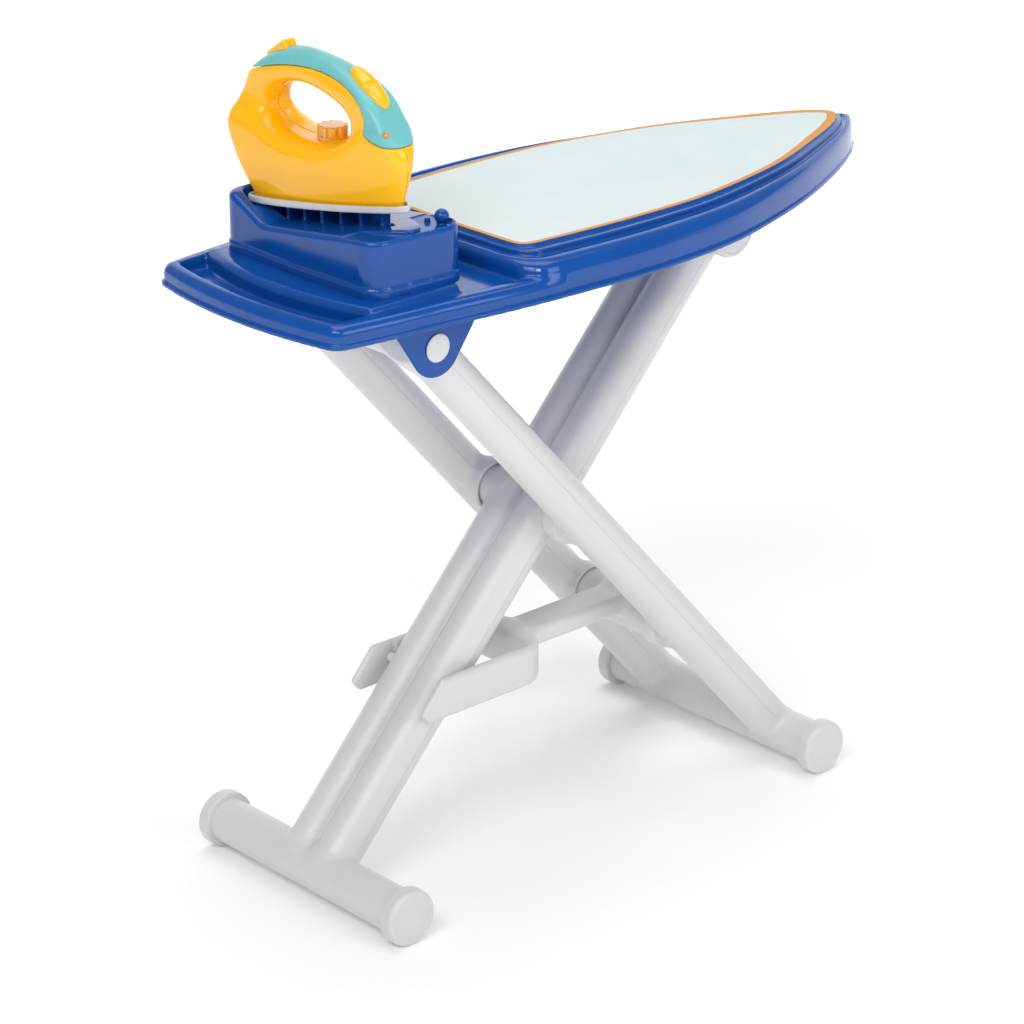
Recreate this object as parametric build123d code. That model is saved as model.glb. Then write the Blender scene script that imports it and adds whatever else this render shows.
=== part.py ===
from build123d import *
import math
import os

# Toy ironing board on folding scissor legs, with an iron standing in the rest at its heel end.
# Frame: +X towards the nose, -Y towards the side with the rest's knob, +Z up, floor at Z = 0.
# The origin is on the floor, under the middle of the board's length and width.
# Millimetres throughout.

# ---- driving dimensions: the board -------------------------------------------------------------
NOSE_X = 327.0
HEEL_X = -327.0
LIP_BOTTOM = 487.6
LIP_TOP = 491.2
LIP_OVERHANG = 1.9
RIM_TOP = 504.5          # rounded rim round the tray at the heel
CREST = 516.0            # crest of the skirt beside the deck
GROOVE_FLOOR = 513.5     # cove between the crest and the deck
LEDGE_TOP = 518.0        # narrow ledge round the deck
DECK_TOP = 519.7         # moulded deck, under the cover
COVER_THICKNESS = 0.8
TRAY_FLOOR = 501.5
TROUGH_FLOOR = 494.5     # grip behind the heel bar
TROUGH_NOSE_X = -270.0
TROUGH_HALF = 92.0
STEP_TOP = 508.5         # step at the foot of the iron rest
STEP_CORNER_X = -281.0
STEP_MIDDLE_X = -300.0
STEP_MIDDLE_Y = 4.0
STEP_HALF = 96.0
STEP_NOSE_X = -200.0
WALL = 3.0
RIM_WIDTH = 17.0
RIM_ROUND = 5.0
HEEL_CORNER_R = 14.0
HEEL_BAR_WIDTH = 13.0
DECK_HEEL_X = -125.5
UPPER_HEEL_X = -146.0    # the raised part of the board starts here
UPPER_CORNER_R = 30.0
UPPER_HEEL_BULGE = 2.5
DECK_CORNER_R = 14.0
LOW_NOSE_X = -106.0      # the low heel part ends here, inside the raised part
HEEL_COVE_LENGTH = 18.0
HEEL_COVE_HALF = 84.0
BEYOND = 200.0           # reach of the cutting shapes past the board's sides

# side of the board, from the heel to the nose: the lip, and the deck's edge beside it
HEEL_SIDE = [(-314.5, 104.0), (-262.0, 111.5), (-220.0, 115.5), (-176.0, 121.3)]
LIP_SIDE = [(-130.0, 125.6), (-42.0, 129.4), (16.0, 127.0), (75.0, 118.8), (138.0, 100.4), (193.0, 79.8),
            (252.0, 51.6), (294.0, 27.5), (314.0, 13.5)]
DECK_SIDE = [(-118.0, 91.0), (-42.0, 95.3), (16.0, 96.2), (60.0, 94.2), (118.0, 84.2), (176.0, 69.0),
             (238.0, 43.8), (284.0, 19.5), (303.0, 9.0)]
DECK_NOSE_X = 315.0

# rings of the raised part, as the share of the way in from the lip to the deck's edge
SKIRT = [(0.06, LIP_BOTTOM), (0.085, 505.0), (0.14, 510.5), (0.23, 514.3), (0.36, CREST)]
COVE_START = 0.5
LEDGE_RING = 0.74
DECK_RING = 0.99
COVER_RING = 1.0
# the hollow under the raised part: ring, bottom and top of each layer
HOLLOW = [(0.19, LIP_BOTTOM - 1.0, 507.0), (0.5, 500.0, 509.5), (0.95, 500.0, DECK_TOP - WALL)]

# rails under the deck that the slide bar's caps run below
RAIL_HEEL_X = -70.0
RAIL_NOSE_X = 215.0

# ---- driving dimensions: the legs --------------------------------------------------------------
TUBE_R = 18.2
TUBE_WALL = 2.8
LEG_R = 18.1
CAP_R = 22.8
CAP_LENGTH = 12.5
CAP_SOCKET = 8.0
CAP_ROUND = 4.0
FOOT_Z = CAP_R
INNER_FOOT_X = -264.5
OUTER_FOOT_X = 180.9
INNER_FOOT_HALF = 119.1
OUTER_FOOT_HALF = 127.2
OUTER_LEG_Y = 67.9
COLUMN_TUBE_Y = 15.8
PIVOT_X = -208.0         # board pivot, at the top of the outer legs
PIVOT_Z = 461.9
SLIDE_X = 143.3          # slide bar, at the top of the inner column
SLIDE_Z = 463.2
SLIDE_HALF = 47.3
JOURNAL_R = 18.0
SOCKET_R = 18.35
SOCKET_FLOOR_Y = 49.2
JOURNAL_END_Y = 48.6
BOSS_R = 21.6
FLARE = 3.0              # the socket is wider by this where it meets the leg
FLARE_START = 6.5
SOCKET_SINK = 6.0
HUB_BOSS_Y = 37.9
FORK_BOSS_Y = 40.6
FORK_DISTANCE = 164.0    # fork journal below the cross pivot, along the outer legs

# ---- driving dimensions: the locking fork ------------------------------------------------------
ARM_TOP = 163.6
ARM_BOTTOM = 147.6
ARM_HALF = 17.0
FORK_TOP = 166.5
FORK_BOTTOM = 133.0
FORK_INNER_Y = 37.4
FORK_OUTER_Y = 46.0
FORK_POCKET_Y = 39.4     # the prongs are thinner beyond the shoulders that meet the pegs
WEB_OUTER_X = -50.0
WEB_INNER_X = -68.5
SHOULDER_X = -145.4
PRONG_TOP_X = -166.0
PRONG_TIP_X = -188.5
PRONG_TIP_Z = 142.0
WEB_BOW = 14.0
WEB_OUTER_CORNER_R = 9.0
WEB_INNER_CORNER_R = 7.0
PEG_X = -150.2
PEG_Z = 153.5
PEG_R = 4.0
PEG_END_Y = 38.7

# ---- driving dimensions: the pivot ears and pins -----------------------------------------------
EAR_INNER_Y = 86.8
EAR_THICKNESS = 3.0
EAR_R = 23.0
EAR_TOP_HALF = 38.0      # half length of the ear where it meets the tray
EAR_SHOULDER = 1.5
EAR_SHOULDER_HEEL_Z = 476.0
EAR_SHOULDER_NOSE_Z = 473.0
PIN_R = 5.0
PIN_BORE_R = 5.08
PIN_REACH = 20.0
PIN_HEAD_R = 11.0
PIN_HEAD = 1.6
PIN_PLAY = 0.2           # between the ear and the pin's head

# ---- driving dimensions: the iron rest ---------------------------------------------------------
REST_HEEL_X = -264.0
REST_NOSE_X = -177.5
REST_NEAR_Y = -90.0
REST_FAR_Y = 94.0
REST_CORNER_R = 16.0
REST_HIGH = 553.0        # backstop behind the iron
REST_LOW = 536.8         # lowest point of the wall's top
REST_NEAR_TOP = 552.0
REST_BACK_Y = 77.0       # foot of the backstop's slope
REST_LOW_Y = 41.0
REST_PEAK_Y = -72.0
REST_TAPER_NEAR = 6.0
REST_TAPER_FAR = 5.0
REST_BULGE = 1.5
SOLE_ROOM = 3.5          # round the iron's sole
SOLE_BED = 1.2           # the wall's top is cut this far below the sole
RECESS_INSET = 11.0
RECESS_DEPTH = 16.0
RIB_COUNT = 7
RIB_FIRST_Y = 58.0
RIB_PITCH = 17.7
RIB_WIDTH = 2.6
KNOB_R = 5.6
KNOB_STEM_R = 3.6
KNOB_STEM = 4.0
REST_PEG_R = 2.2
REST_PEG = 3.0
KNOB_AT = (-186.8, -72.0)
PEG_AT = (-192.0, -62.0)

# ---- driving dimensions: the iron --------------------------------------------------------------
IRON_X = -220.0
SOLE_REAR_Y = 80.0
SOLE_TIP_Y = -74.0
SOLE_REAR_Z = 543.6      # underside of the sole at its rear edge
IRON_TILT = 7.5          # degrees, tip up
SOLE_THICKNESS = 5.5
SOLE_SIDE = [(SOLE_REAR_Y, 29.0), (55.0, 31.5), (20.0, 29.6), (-15.0, 24.3), (-45.0, 16.5), (-66.0, 8.0)]
SOLE_CORNER_R = 9.0
LIFT_GAP = 0.4           # between the ribs and the sole
SHELL = 2.6
SCREWS = [(86.0, 572.0), (-46.0, 590.0), (-52.0, 606.0)]
SCREW_HEAD_X = 14.0
SCREW_HEAD_R = 2.9
SCREW_HEAD = 2.0
SCREW_R = 1.25
SCREW_BORE_R = 1.3
SCREW_WELL_R = 3.2
SCREW_POST_R = 4.0
SCREW_REACH = 10.0
SOLE_RIM = 2.2
SOLE_WELL = 2.4
DIAL_Y = 10.0
DIAL_Z = 603.0
DIAL_R = 11.5
DIAL_HEIGHT = 9.0
DIAL_SUNK = 2.4
DIAL_NOTCHES = 10
DIAL_NOTCH_R = 2.6
DIAL_EDGE_R = 0.8
ROCKER_AT = (-34.0, 649.0)
ROCKER_LEAN = 32.0
ROCKER_HALF_LENGTH = 22.0
ROCKER_HALF_WIDTH = 8.5
ROCKER_SUNK = 4.0
ROCKER_PROUD = 5.0
ROCKER_GAP = 0.8
THUMB_AT = (66.0, 655.0)
THUMB_LEAN = 30.0
THUMB_LENGTH = 26.0
THUMB_WIDTH = 13.0
THUMB_SUNK = 4.0
THUMB_PROUD = 9.0
LENS_SIDE = 10.5
LENS_Y = -63.0
LENS_Z = 621.0
LENS_R = 2.4
LENS_LENGTH = 6.0
LENS_FACING = (-0.72, -0.42, 0.55)

# the iron seen from the side, as (Y, Z): up its rear, over its top and down its front
BODY_FOOT_REAR_Y = 79.0
BODY_FOOT_TIP_Y = -72.0
BODY_REAR = [(84.0, 556.0), (99.0, 579.0), (105.0, 600.0), (96.0, 622.0), (85.0, 643.0)]
BODY_SHOULDER = (66.0, 657.5)
BODY_TOP = [(41.0, 664.5), (8.0, 662.5), (-24.0, 654.5), (-48.0, 640.0)]
BODY_FRONT = [(-66.0, 620.0), (-77.0, 598.0), (-78.0, 578.0)]
# the opening under the handle and the cover's joint
HANDLE_OPENING = [(72.0, 615.0), (62.0, 631.0), (37.0, 639.0), (5.0, 636.5), (-19.0, 627.0), (-24.0, 616.0),
                  (-10.0, 605.0), (21.0, 601.0), (55.0, 603.5)]
COVER_JOINT = [(100.0, 636.0), (80.0, 643.0), (60.0, 648.5), (38.0, 652.5), (15.0, 654.0), (-6.0, 652.5),
               (-25.0, 647.5), (-38.0, 639.5), (-44.0, 629.0), (-43.0, 619.0)]
COVER_FRONT = [COVER_JOINT[-1], (-52.0, 615.0), (-66.0, 612.0), (-90.0, 612.0)]
# the iron's half width along Y, and its half width up its height
PLAN_SIDE = [(8.5, -70.0), (17.5, -45.0), (24.5, -12.0), (28.5, 25.0), (29.0, 60.0), (22.0, 92.0)]
PLAN_TIP_Y = -80.0
PLAN_REAR_Y = 106.0
SECTION_SIDE = [(26.5, 540.0), (29.0, 575.0), (26.5, 596.0), (19.5, 616.0), (15.5, 634.0), (14.5, 646.0),
                (11.5, 656.0)]
SECTION_TOP = 667.0


def outward(points, distance):
    """Move the points of an open outline along its normals, to the left of its direction."""
    moved = []
    for i, (x, y) in enumerate(points):
        before = points[max(i - 1, 0)]
        after = points[min(i + 1, len(points) - 1)]
        run = math.hypot(after[0] - before[0], after[1] - before[1])
        nx = -(after[1] - before[1]) / run
        ny = (after[0] - before[0]) / run
        moved.append((x + nx * distance, y + ny * distance))
    return moved


def mirrored(points):
    """The same points on the other side of the X axis, in reverse order."""
    return [(x, -y) for x, y in reversed(points)]


def closed_face(plane, *lines):
    """A face bounded by lines drawn in one plane."""
    return make_face([edge for line in lines for edge in (plane * line).edges()])


def slab(face, low, high):
    """A plate with the plan of the face, from height low to height high."""
    return extrude(Pos(0, 0, low) * face, high - low, dir=(0, 0, 1))


def block(x0, x1, y0, y1, z0, z1):
    """A box between two corners."""
    return Pos((x0 + x1) / 2, (y0 + y1) / 2, (z0 + z1) / 2) * Box(x1 - x0, y1 - y0, z1 - z0)


def rod_y(x, z, radius, y0, y1):
    """A round rod along Y."""
    return Pos(x, (y0 + y1) / 2, z) * Rot(90, 0, 0) * Cylinder(radius, abs(y1 - y0))


def rod_between(start, end, radius):
    """A round rod from one point to another."""
    axis = Vector(*end) - Vector(*start)
    plane = Plane(origin=Vector(*start) + axis * 0.5, z_dir=axis.normalized())
    return plane * Cylinder(radius, axis.length)


def outline_face(side, nose_x, heel_bulge, corner_r):
    """A closed plan: a slightly convex heel edge and one smooth curve round the sides and nose."""
    curve = Spline(*side, (nose_x, 0), *mirrored(side))
    x, y = side[0]
    heel = ThreePointArc((x, -y), (x - heel_bulge, 0), (x, y))
    face = make_face([curve, heel])
    corners = [v for v in face.vertices() if abs(v.X - x) < 0.01]
    return fillet(corners, corner_r)


def between(step):
    """Plan of the raised part of the board, from the lip (0) to the deck's edge (1)."""
    side = [(a + (c - a) * step, b + (d - b) * step) for (a, b), (c, d) in zip(LIP_SIDE, DECK_SIDE)]
    nose = NOSE_X + (DECK_NOSE_X - NOSE_X) * step
    heel = UPPER_HEEL_X + (DECK_HEEL_X - UPPER_HEEL_X) * step
    corner = [(heel + 2.0, side[0][1] - 1.5)]
    radius = UPPER_CORNER_R + (DECK_CORNER_R - UPPER_CORNER_R) * step
    return outline_face(corner + side[1:], nose, UPPER_HEEL_BULGE, radius)


def whole_plan(inset):
    """Plan of the whole board, moved inwards from the edge of the lip."""
    side = outward(HEEL_SIDE + LIP_SIDE, -inset)
    side[0] = (HEEL_SIDE[0][0] + inset, side[0][1])
    return outline_face(side, NOSE_X - inset, HEEL_SIDE[0][0] - HEEL_X, HEEL_CORNER_R)


# ---- board -------------------------------------------------------------------------------------
def heel_part(face, limit):
    """The part of a plan on the heel side of a limit along X."""
    return face & (Pos(limit - BEYOND, 0) * Rectangle(2 * BEYOND, 2 * BEYOND))


def step_plan(inset):
    """Plan of the step at the foot of the iron rest."""
    half = STEP_HALF - inset
    corner = STEP_CORNER_X + inset
    arc = ThreePointArc((corner, -half), (STEP_MIDDLE_X + inset, STEP_MIDDLE_Y), (corner, half))
    rest = Polyline((corner, half), (LOW_NOSE_X, half), (LOW_NOSE_X, -half), (corner, -half))
    return make_face([arc, rest])


def low_part():
    """The low heel part of the board, with its rounded top edge."""
    low = slab(heel_part(whole_plan(LIP_OVERHANG), LOW_NOSE_X), LIP_BOTTOM, RIM_TOP)
    top_edges = low.faces().sort_by(Axis.Z)[-1].edges()
    return fillet([e for e in top_edges if e.bounding_box().min.X < LOW_NOSE_X - 1], RIM_ROUND)


def raised_part():
    """Skirt, rounded crest, cove, ledge and deck, still solid."""
    rings = [Pos(0, 0, z) * between(step) for step, z in SKIRT]
    raised = loft([rings[0], rings[1]])
    for lower, upper in zip(rings[1:], rings[2:]):
        raised += loft([lower, upper])
    above = CREST + 1.0
    raised -= slab(between(COVE_START), GROOVE_FLOOR, above)
    raised -= block(UPPER_HEEL_X - HEEL_COVE_LENGTH / 3, UPPER_HEEL_X + HEEL_COVE_LENGTH * 2 / 3,
                    -HEEL_COVE_HALF, HEEL_COVE_HALF, GROOVE_FLOOR, above)
    raised += slab(between(LEDGE_RING), GROOVE_FLOOR - 1.0, LEDGE_TOP)
    return raised + slab(between(DECK_RING), LEDGE_TOP - 1.0, DECK_TOP)


def tray_cut():
    """Room above the tray's floor and above the grip behind the heel bar."""
    beside_bar = Pos(HEEL_X, 0) * Rectangle(60, 2 * BEYOND)
    tray = slab(heel_part(whole_plan(RIM_WIDTH), UPPER_HEEL_X) - beside_bar, TRAY_FLOOR, RIM_TOP + 1.0)
    grip = heel_part(whole_plan(HEEL_BAR_WIDTH), TROUGH_NOSE_X)
    grip &= Pos(TROUGH_NOSE_X - 30, 0) * Rectangle(60, 2 * TROUGH_HALF)
    return tray + (slab(grip, TROUGH_FLOOR, RIM_TOP + 1.0) - slab(step_plan(0), LIP_BOTTOM, RIM_TOP + 2.0))


def board_shell():
    """The moulded board, hollow below: lip, tray at the heel, and the raised part with the deck."""
    shell = slab(whole_plan(0), LIP_BOTTOM, LIP_TOP) + low_part() + raised_part()
    shell -= tray_cut()
    shell += slab(heel_part(step_plan(0), STEP_NOSE_X), TRAY_FLOOR - 1.0, STEP_TOP)
    for step, low, high in HOLLOW:
        shell -= slab(between(step), low, high)
    below_grip = heel_part(whole_plan(WALL + 2.5), UPPER_HEEL_X + 8.0)
    shell -= slab(below_grip, LIP_BOTTOM - 1.0, TROUGH_FLOOR - WALL)
    below_step = heel_part(step_plan(WALL + 1.0), UPPER_HEEL_X + 8.0)
    return shell - slab(below_step, LIP_BOTTOM - 1.0, TRAY_FLOOR - WALL)


def cover_sheet():
    """The pale ironing surface, lying on the deck."""
    return slab(between(COVER_RING), DECK_TOP, DECK_TOP + COVER_THICKNESS)


def slide_rail(side):
    """One of the two rails under the deck that the slide bar's caps run below."""
    y = side * (SLIDE_HALF - CAP_LENGTH / 2)
    return block(RAIL_HEEL_X, RAIL_NOSE_X, y - WALL / 2, y + WALL / 2, LIP_BOTTOM, DECK_TOP - WALL)


def pivot_ear(side):
    """Ear under the tray that carries the board on the outer legs: a tapered plate, round below."""
    top = TRAY_FLOOR - WALL
    heel = PIVOT_X - EAR_TOP_HALF
    nose = PIVOT_X + EAR_TOP_HALF
    tangent_x = EAR_R * math.cos(math.radians(30))
    tangent_z = PIVOT_Z - EAR_R * math.sin(math.radians(30))
    taper = Polyline((heel, top), (nose, top), (nose - EAR_SHOULDER, EAR_SHOULDER_NOSE_Z),
                     (PIVOT_X + tangent_x, tangent_z), (PIVOT_X - tangent_x, tangent_z),
                     (heel + EAR_SHOULDER, EAR_SHOULDER_HEEL_Z), close=True)
    plate = make_face(Plane.XZ * taper)
    inner = side * EAR_INNER_Y
    outer = side * (EAR_INNER_Y + EAR_THICKNESS)
    ear = extrude(plate, EAR_THICKNESS, dir=(0, side, 0)).moved(Location((0, inner, 0)))
    ear += rod_y(PIVOT_X, PIVOT_Z, EAR_R, inner, outer)
    return ear - rod_y(PIVOT_X, PIVOT_Z, PIN_BORE_R, inner - side, outer + side)


def pivot_pin(side):
    """Headed pin through an ear into the cross tube's end wall."""
    outer = EAR_INNER_Y + EAR_THICKNESS + PIN_PLAY
    pin = rod_y(PIVOT_X, PIVOT_Z, PIN_HEAD_R, side * outer, side * (outer + PIN_HEAD))
    head_edge = [e for e in pin.edges() if abs(abs(e.center().Y) - outer - PIN_HEAD) < 0.01]
    pin = fillet(head_edge, 1.0)
    return pin + rod_y(PIVOT_X, PIVOT_Z, PIN_R, side * (outer - PIN_REACH), side * outer)


# ---- iron rest ---------------------------------------------------------------------------------
def sole_face(grow):
    """Plan of the iron's sole, larger by grow all round, about the iron's own X position."""
    side = [(half + grow, y) for y, half in SOLE_SIDE if half + grow > WALL]
    side[0] = (side[0][0], SOLE_REAR_Y + grow)
    other = [(-x, y) for x, y in reversed(side)]
    curve = Spline(*side, (0, SOLE_TIP_Y - grow), *other)
    rear = ThreePointArc(other[-1], (0, SOLE_REAR_Y + grow + 1.5), side[0])
    face = make_face([curve, rear])
    corners = [v for v in face.vertices() if v.Y > SOLE_REAR_Y + grow - 1]
    return Pos(IRON_X, 0) * fillet(corners, SOLE_CORNER_R)


def sole_plane_z(y):
    """Height of the sole's underside at a place along the iron."""
    return SOLE_REAR_Z + (SOLE_REAR_Y - y) * math.tan(math.radians(IRON_TILT))


def tilted_layer(face, low, high):
    """A layer with a vertical edge, parallel to the iron's underside, between two heights above it."""
    ends = (SOLE_REAR_Y + 40, SOLE_TIP_Y - 40)
    profile = Polyline((ends[0], sole_plane_z(ends[0]) + low), (ends[1], sole_plane_z(ends[1]) + low),
                       (ends[1], sole_plane_z(ends[1]) + high), (ends[0], sole_plane_z(ends[0]) + high),
                       close=True)
    wedge = extrude(make_face(Plane.YZ * profile), 120, both=True).moved(Location((IRON_X, 0, 0)))
    return slab(face, LIP_BOTTOM, SECTION_TOP) & wedge


def across_iron(*outline):
    """A shape with a given side view in the YZ plane, wide enough to pass right through the rest."""
    return extrude(closed_face(Plane.YZ, *outline), 120, both=True).moved(Location((IRON_X, 0, 0)))


def rest_plan(inset):
    """Plan of the iron rest: slightly convex heel wall and a near wall parallel to the board's side."""
    heel = REST_HEEL_X + inset
    nose = REST_NOSE_X - inset
    near = REST_NEAR_Y + inset
    far = REST_FAR_Y - inset
    wall = ThreePointArc((heel, near + REST_TAPER_NEAR), (heel - REST_BULGE, 0), (heel, far - REST_TAPER_FAR))
    rest = Polyline((heel, far - REST_TAPER_FAR), (nose, far + 1.0), (nose, near),
                    (heel, near + REST_TAPER_NEAR))
    return fillet(make_face([wall, rest]).vertices(), REST_CORNER_R - inset)


def rest_top_cut():
    """What is cut away above the wall's V-shaped top."""
    near, far, above = REST_NEAR_Y - 20, REST_FAR_Y + 16, REST_HIGH + 50
    wall = [(far, REST_HIGH), (REST_BACK_Y, REST_HIGH), (REST_LOW_Y, REST_LOW), (REST_PEAK_Y, REST_NEAR_TOP),
            (near, REST_NEAR_TOP)]
    return across_iron(Polyline(*wall, (near, above), (far, above), close=True))


def rest_hollow():
    """Inside of the tower, below its top walls."""
    near, far, below = REST_NEAR_Y - 20, REST_FAR_Y - WALL, STEP_TOP - 10
    near_top = REST_NEAR_TOP - WALL - 2
    return across_iron(Polyline((far, below), (far, REST_HIGH - 4 * WALL), (REST_BACK_Y - 17, REST_LOW - 4),
                                (REST_LOW_Y, REST_LOW - 5), (REST_PEAK_Y, near_top), (near, near_top),
                                (near, below), close=True))


def iron_rest():
    """Hollow tower that the iron stands in: backstop, recess and ribs."""
    tower = slab(rest_plan(0), STEP_TOP, REST_HIGH) - rest_top_cut()
    tower -= tilted_layer(sole_face(SOLE_ROOM), -SOLE_BED, 40)
    tower -= tilted_layer(sole_face(-RECESS_INSET), -RECESS_DEPTH, 10)
    for i in range(RIB_COUNT):
        strip = Pos(IRON_X, RIB_FIRST_Y - i * RIB_PITCH) * Rectangle(120, RIB_WIDTH)
        tower += tilted_layer(sole_face(0.1 - RECESS_INSET) & strip, -RECESS_DEPTH - 1, -LIFT_GAP)
    floor = tilted_layer(rest_plan(WALL), -200, -RECESS_DEPTH - WALL)
    return tower - (floor & rest_hollow())


def rest_knob():
    """Domed knob on the near corner of the rest."""
    x, y = KNOB_AT
    stem = Pos(x, y, REST_NEAR_TOP + KNOB_STEM / 2) * Cylinder(KNOB_STEM_R, KNOB_STEM)
    return stem + Pos(x, y, REST_NEAR_TOP + KNOB_R) * Sphere(KNOB_R)


def rest_peg():
    """Small peg beside the knob."""
    x, y = PEG_AT
    peg = Pos(x, y, REST_NEAR_TOP + REST_PEG / 2) * Cylinder(REST_PEG_R, REST_PEG)
    return fillet(peg.edges().sort_by(Axis.Z)[-1], 1.0)


# ---- iron --------------------------------------------------------------------------------------
def body_side(shell):
    """Outline of the iron above its sole, from the side, moved inwards by the shell's thickness."""
    slope = math.tan(math.radians(IRON_TILT))
    seat = sole_plane_z(0) + SOLE_THICKNESS + shell
    foot = (BODY_FOOT_REAR_Y - shell, seat - BODY_FOOT_REAR_Y * slope)
    nose = (BODY_FOOT_TIP_Y + shell, seat - BODY_FOOT_TIP_Y * slope)
    shoulder = (BODY_SHOULDER[0] - shell, BODY_SHOULDER[1] - shell)
    rear = [foot] + [(y - shell, z) for y, z in BODY_REAR] + [shoulder]
    top = [shoulder] + [(y, z - shell) for y, z in BODY_TOP] + [(y + shell, z) for y, z in BODY_FRONT]
    front = Polyline(top[-1], nose, foot)
    return Spline(*rear), Spline(*top), front


def handle_hole(shell):
    """Side view of the opening under the handle, moved outwards by the shell's thickness."""
    middle_y = sum(y for y, z in HANDLE_OPENING) / len(HANDLE_OPENING)
    middle_z = sum(z for y, z in HANDLE_OPENING) / len(HANDLE_OPENING)
    points = []
    for y, z in HANDLE_OPENING:
        run = math.hypot(y - middle_y, z - middle_z)
        points.append((y + shell * (y - middle_y) / run, z + shell * (z - middle_z) / run))
    return closed_face(Plane.YZ, Spline(*points, periodic=True))


def body_plan(shell):
    """Plan of the iron's body: rounded rear, widest behind the middle, pointed front."""
    side = [(x - shell, y) for x, y in PLAN_SIDE]
    other = [(-x, y) for x, y in reversed(side)]
    curve = Spline((0, PLAN_TIP_Y + shell), *side, (0, PLAN_REAR_Y - shell), *other, periodic=True)
    return Pos(IRON_X, 0) * make_face(curve)


def body_section(shell):
    """End view of the iron's body: wide at the sole, narrow and round at the handle."""
    side = [(x - shell, z) for x, z in SECTION_SIDE]
    other = [(-x, z) for x, z in reversed(side)]
    curve = Spline(*side, (0, SECTION_TOP - shell), *other)
    return closed_face(Plane.XZ, curve, Line(other[-1], side[0]))


def iron_mass(shell):
    """The iron above its sole as one block, moved inwards by the shell's thickness."""
    mass = across_iron(*body_side(shell))
    mass &= slab(body_plan(shell), LIP_BOTTOM, SECTION_TOP + 30)
    mass &= extrude(body_section(shell), 150, both=True).moved(Location((IRON_X, 0, 0)))
    return mass - extrude(handle_hole(shell), 60, both=True).moved(Location((IRON_X, 0, 0)))


def cover_region():
    """Everything above the joint between the iron's body and its top cover."""
    above = SECTION_TOP + 30
    frame = Polyline(COVER_FRONT[-1], (COVER_FRONT[-1][0], above), (COVER_JOINT[0][0], above), COVER_JOINT[0])
    return across_iron(Spline(*COVER_JOINT), Spline(*COVER_FRONT), frame)


def screw_rod(y, z, radius, x0, x1):
    """A round rod along X inside the iron."""
    return Pos((x0 + x1) / 2, y, z) * Rot(0, 90, 0) * Cylinder(radius, x1 - x0)


def iron_shells():
    """The two yellow half shells and the top cover, hollow, with posts for the screws."""
    outer = iron_mass(0)
    walls = outer - iron_mass(SHELL)
    for y, z in SCREWS:
        walls += screw_rod(y, z, SCREW_POST_R, IRON_X - 40, IRON_X + 40) & outer
    region = cover_region()
    cover = (walls & region) - rocker_cavity() - thumb_slot() - lens_shape(0.05)
    body = walls - region - dial_seat()
    for y, z in SCREWS:
        body -= screw_rod(y, z, SCREW_BORE_R, IRON_X - SCREW_REACH - 2, IRON_X + 40)
        body -= screw_rod(y, z, SCREW_WELL_R, IRON_X + SCREW_HEAD_X, IRON_X + 40)
    left = body & block(IRON_X - 60, IRON_X, -120, 140, LIP_BOTTOM, SECTION_TOP)
    right = body & block(IRON_X, IRON_X + 60, -120, 140, LIP_BOTTOM, SECTION_TOP)
    return biggest(left), biggest(right), biggest(cover)


def biggest(shape):
    """The largest solid of a shape."""
    return max(shape.solids(), key=lambda solid: solid.volume)


def case_screws():
    """Screws that hold the two half shells together, driven from the far side."""
    screws = []
    for y, z in SCREWS:
        head = screw_rod(y, z, SCREW_HEAD_R, IRON_X + SCREW_HEAD_X, IRON_X + SCREW_HEAD_X + SCREW_HEAD)
        screws.append(head + screw_rod(y, z, SCREW_R, IRON_X - SCREW_REACH, IRON_X + SCREW_HEAD_X))
    return Compound(children=screws)


def soleplate():
    """Flat sole with a raised rim round its upper side."""
    plate = tilted_layer(sole_face(0), 0, SOLE_THICKNESS)
    well = tilted_layer(sole_face(-SOLE_RIM), SOLE_THICKNESS - SOLE_WELL, SOLE_THICKNESS + 5)
    seat = tilted_layer(sole_face(-SOLE_RIM - 3.5), SOLE_THICKNESS - SOLE_WELL - 0.5, SOLE_THICKNESS - 0.02)
    return (plate - well) + (seat - (iron_mass(0) + iron_mass(0).moved(Location((0, 0, 0.01)))))


def dial_seat():
    """Room for the dial in the body, below the handle."""
    return Pos(IRON_X, DIAL_Y, DIAL_Z) * Cylinder(DIAL_R + 0.3, DIAL_SUNK * 2)


def thermostat_dial():
    """Clear dial with finger notches, turning on the body below the handle."""
    low = DIAL_Z - DIAL_SUNK + 0.3
    high = DIAL_Z + DIAL_HEIGHT
    dial = Pos(IRON_X, DIAL_Y, (low + high) / 2) * Cylinder(DIAL_R, high - low)
    notch_at = DIAL_R + DIAL_NOTCH_R / 2
    for i in range(DIAL_NOTCHES):
        turn = math.radians(360 * i / DIAL_NOTCHES)
        x = IRON_X + notch_at * math.cos(turn)
        y = DIAL_Y + notch_at * math.sin(turn)
        dial -= Pos(x, y, DIAL_Z + DIAL_HEIGHT / 2 + 1) * Cylinder(DIAL_NOTCH_R, DIAL_HEIGHT)
    return fillet(dial.edges().group_by(Axis.Z)[-1], DIAL_EDGE_R)


def rocker_frame():
    """Plane on the slope of the top cover where the rocker button lies."""
    y, z = ROCKER_AT
    lean = math.radians(ROCKER_LEAN)
    return Plane(origin=(IRON_X, y, z), x_dir=(0, -math.cos(lean), -math.sin(lean)),
                 z_dir=(0, -math.sin(lean), math.cos(lean)))


def rocker_cavity():
    """Opening in the top cover round the rocker button."""
    hole = Ellipse(ROCKER_HALF_LENGTH + ROCKER_GAP, ROCKER_HALF_WIDTH + ROCKER_GAP)
    return extrude(rocker_frame() * hole, 12, both=True)


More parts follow.
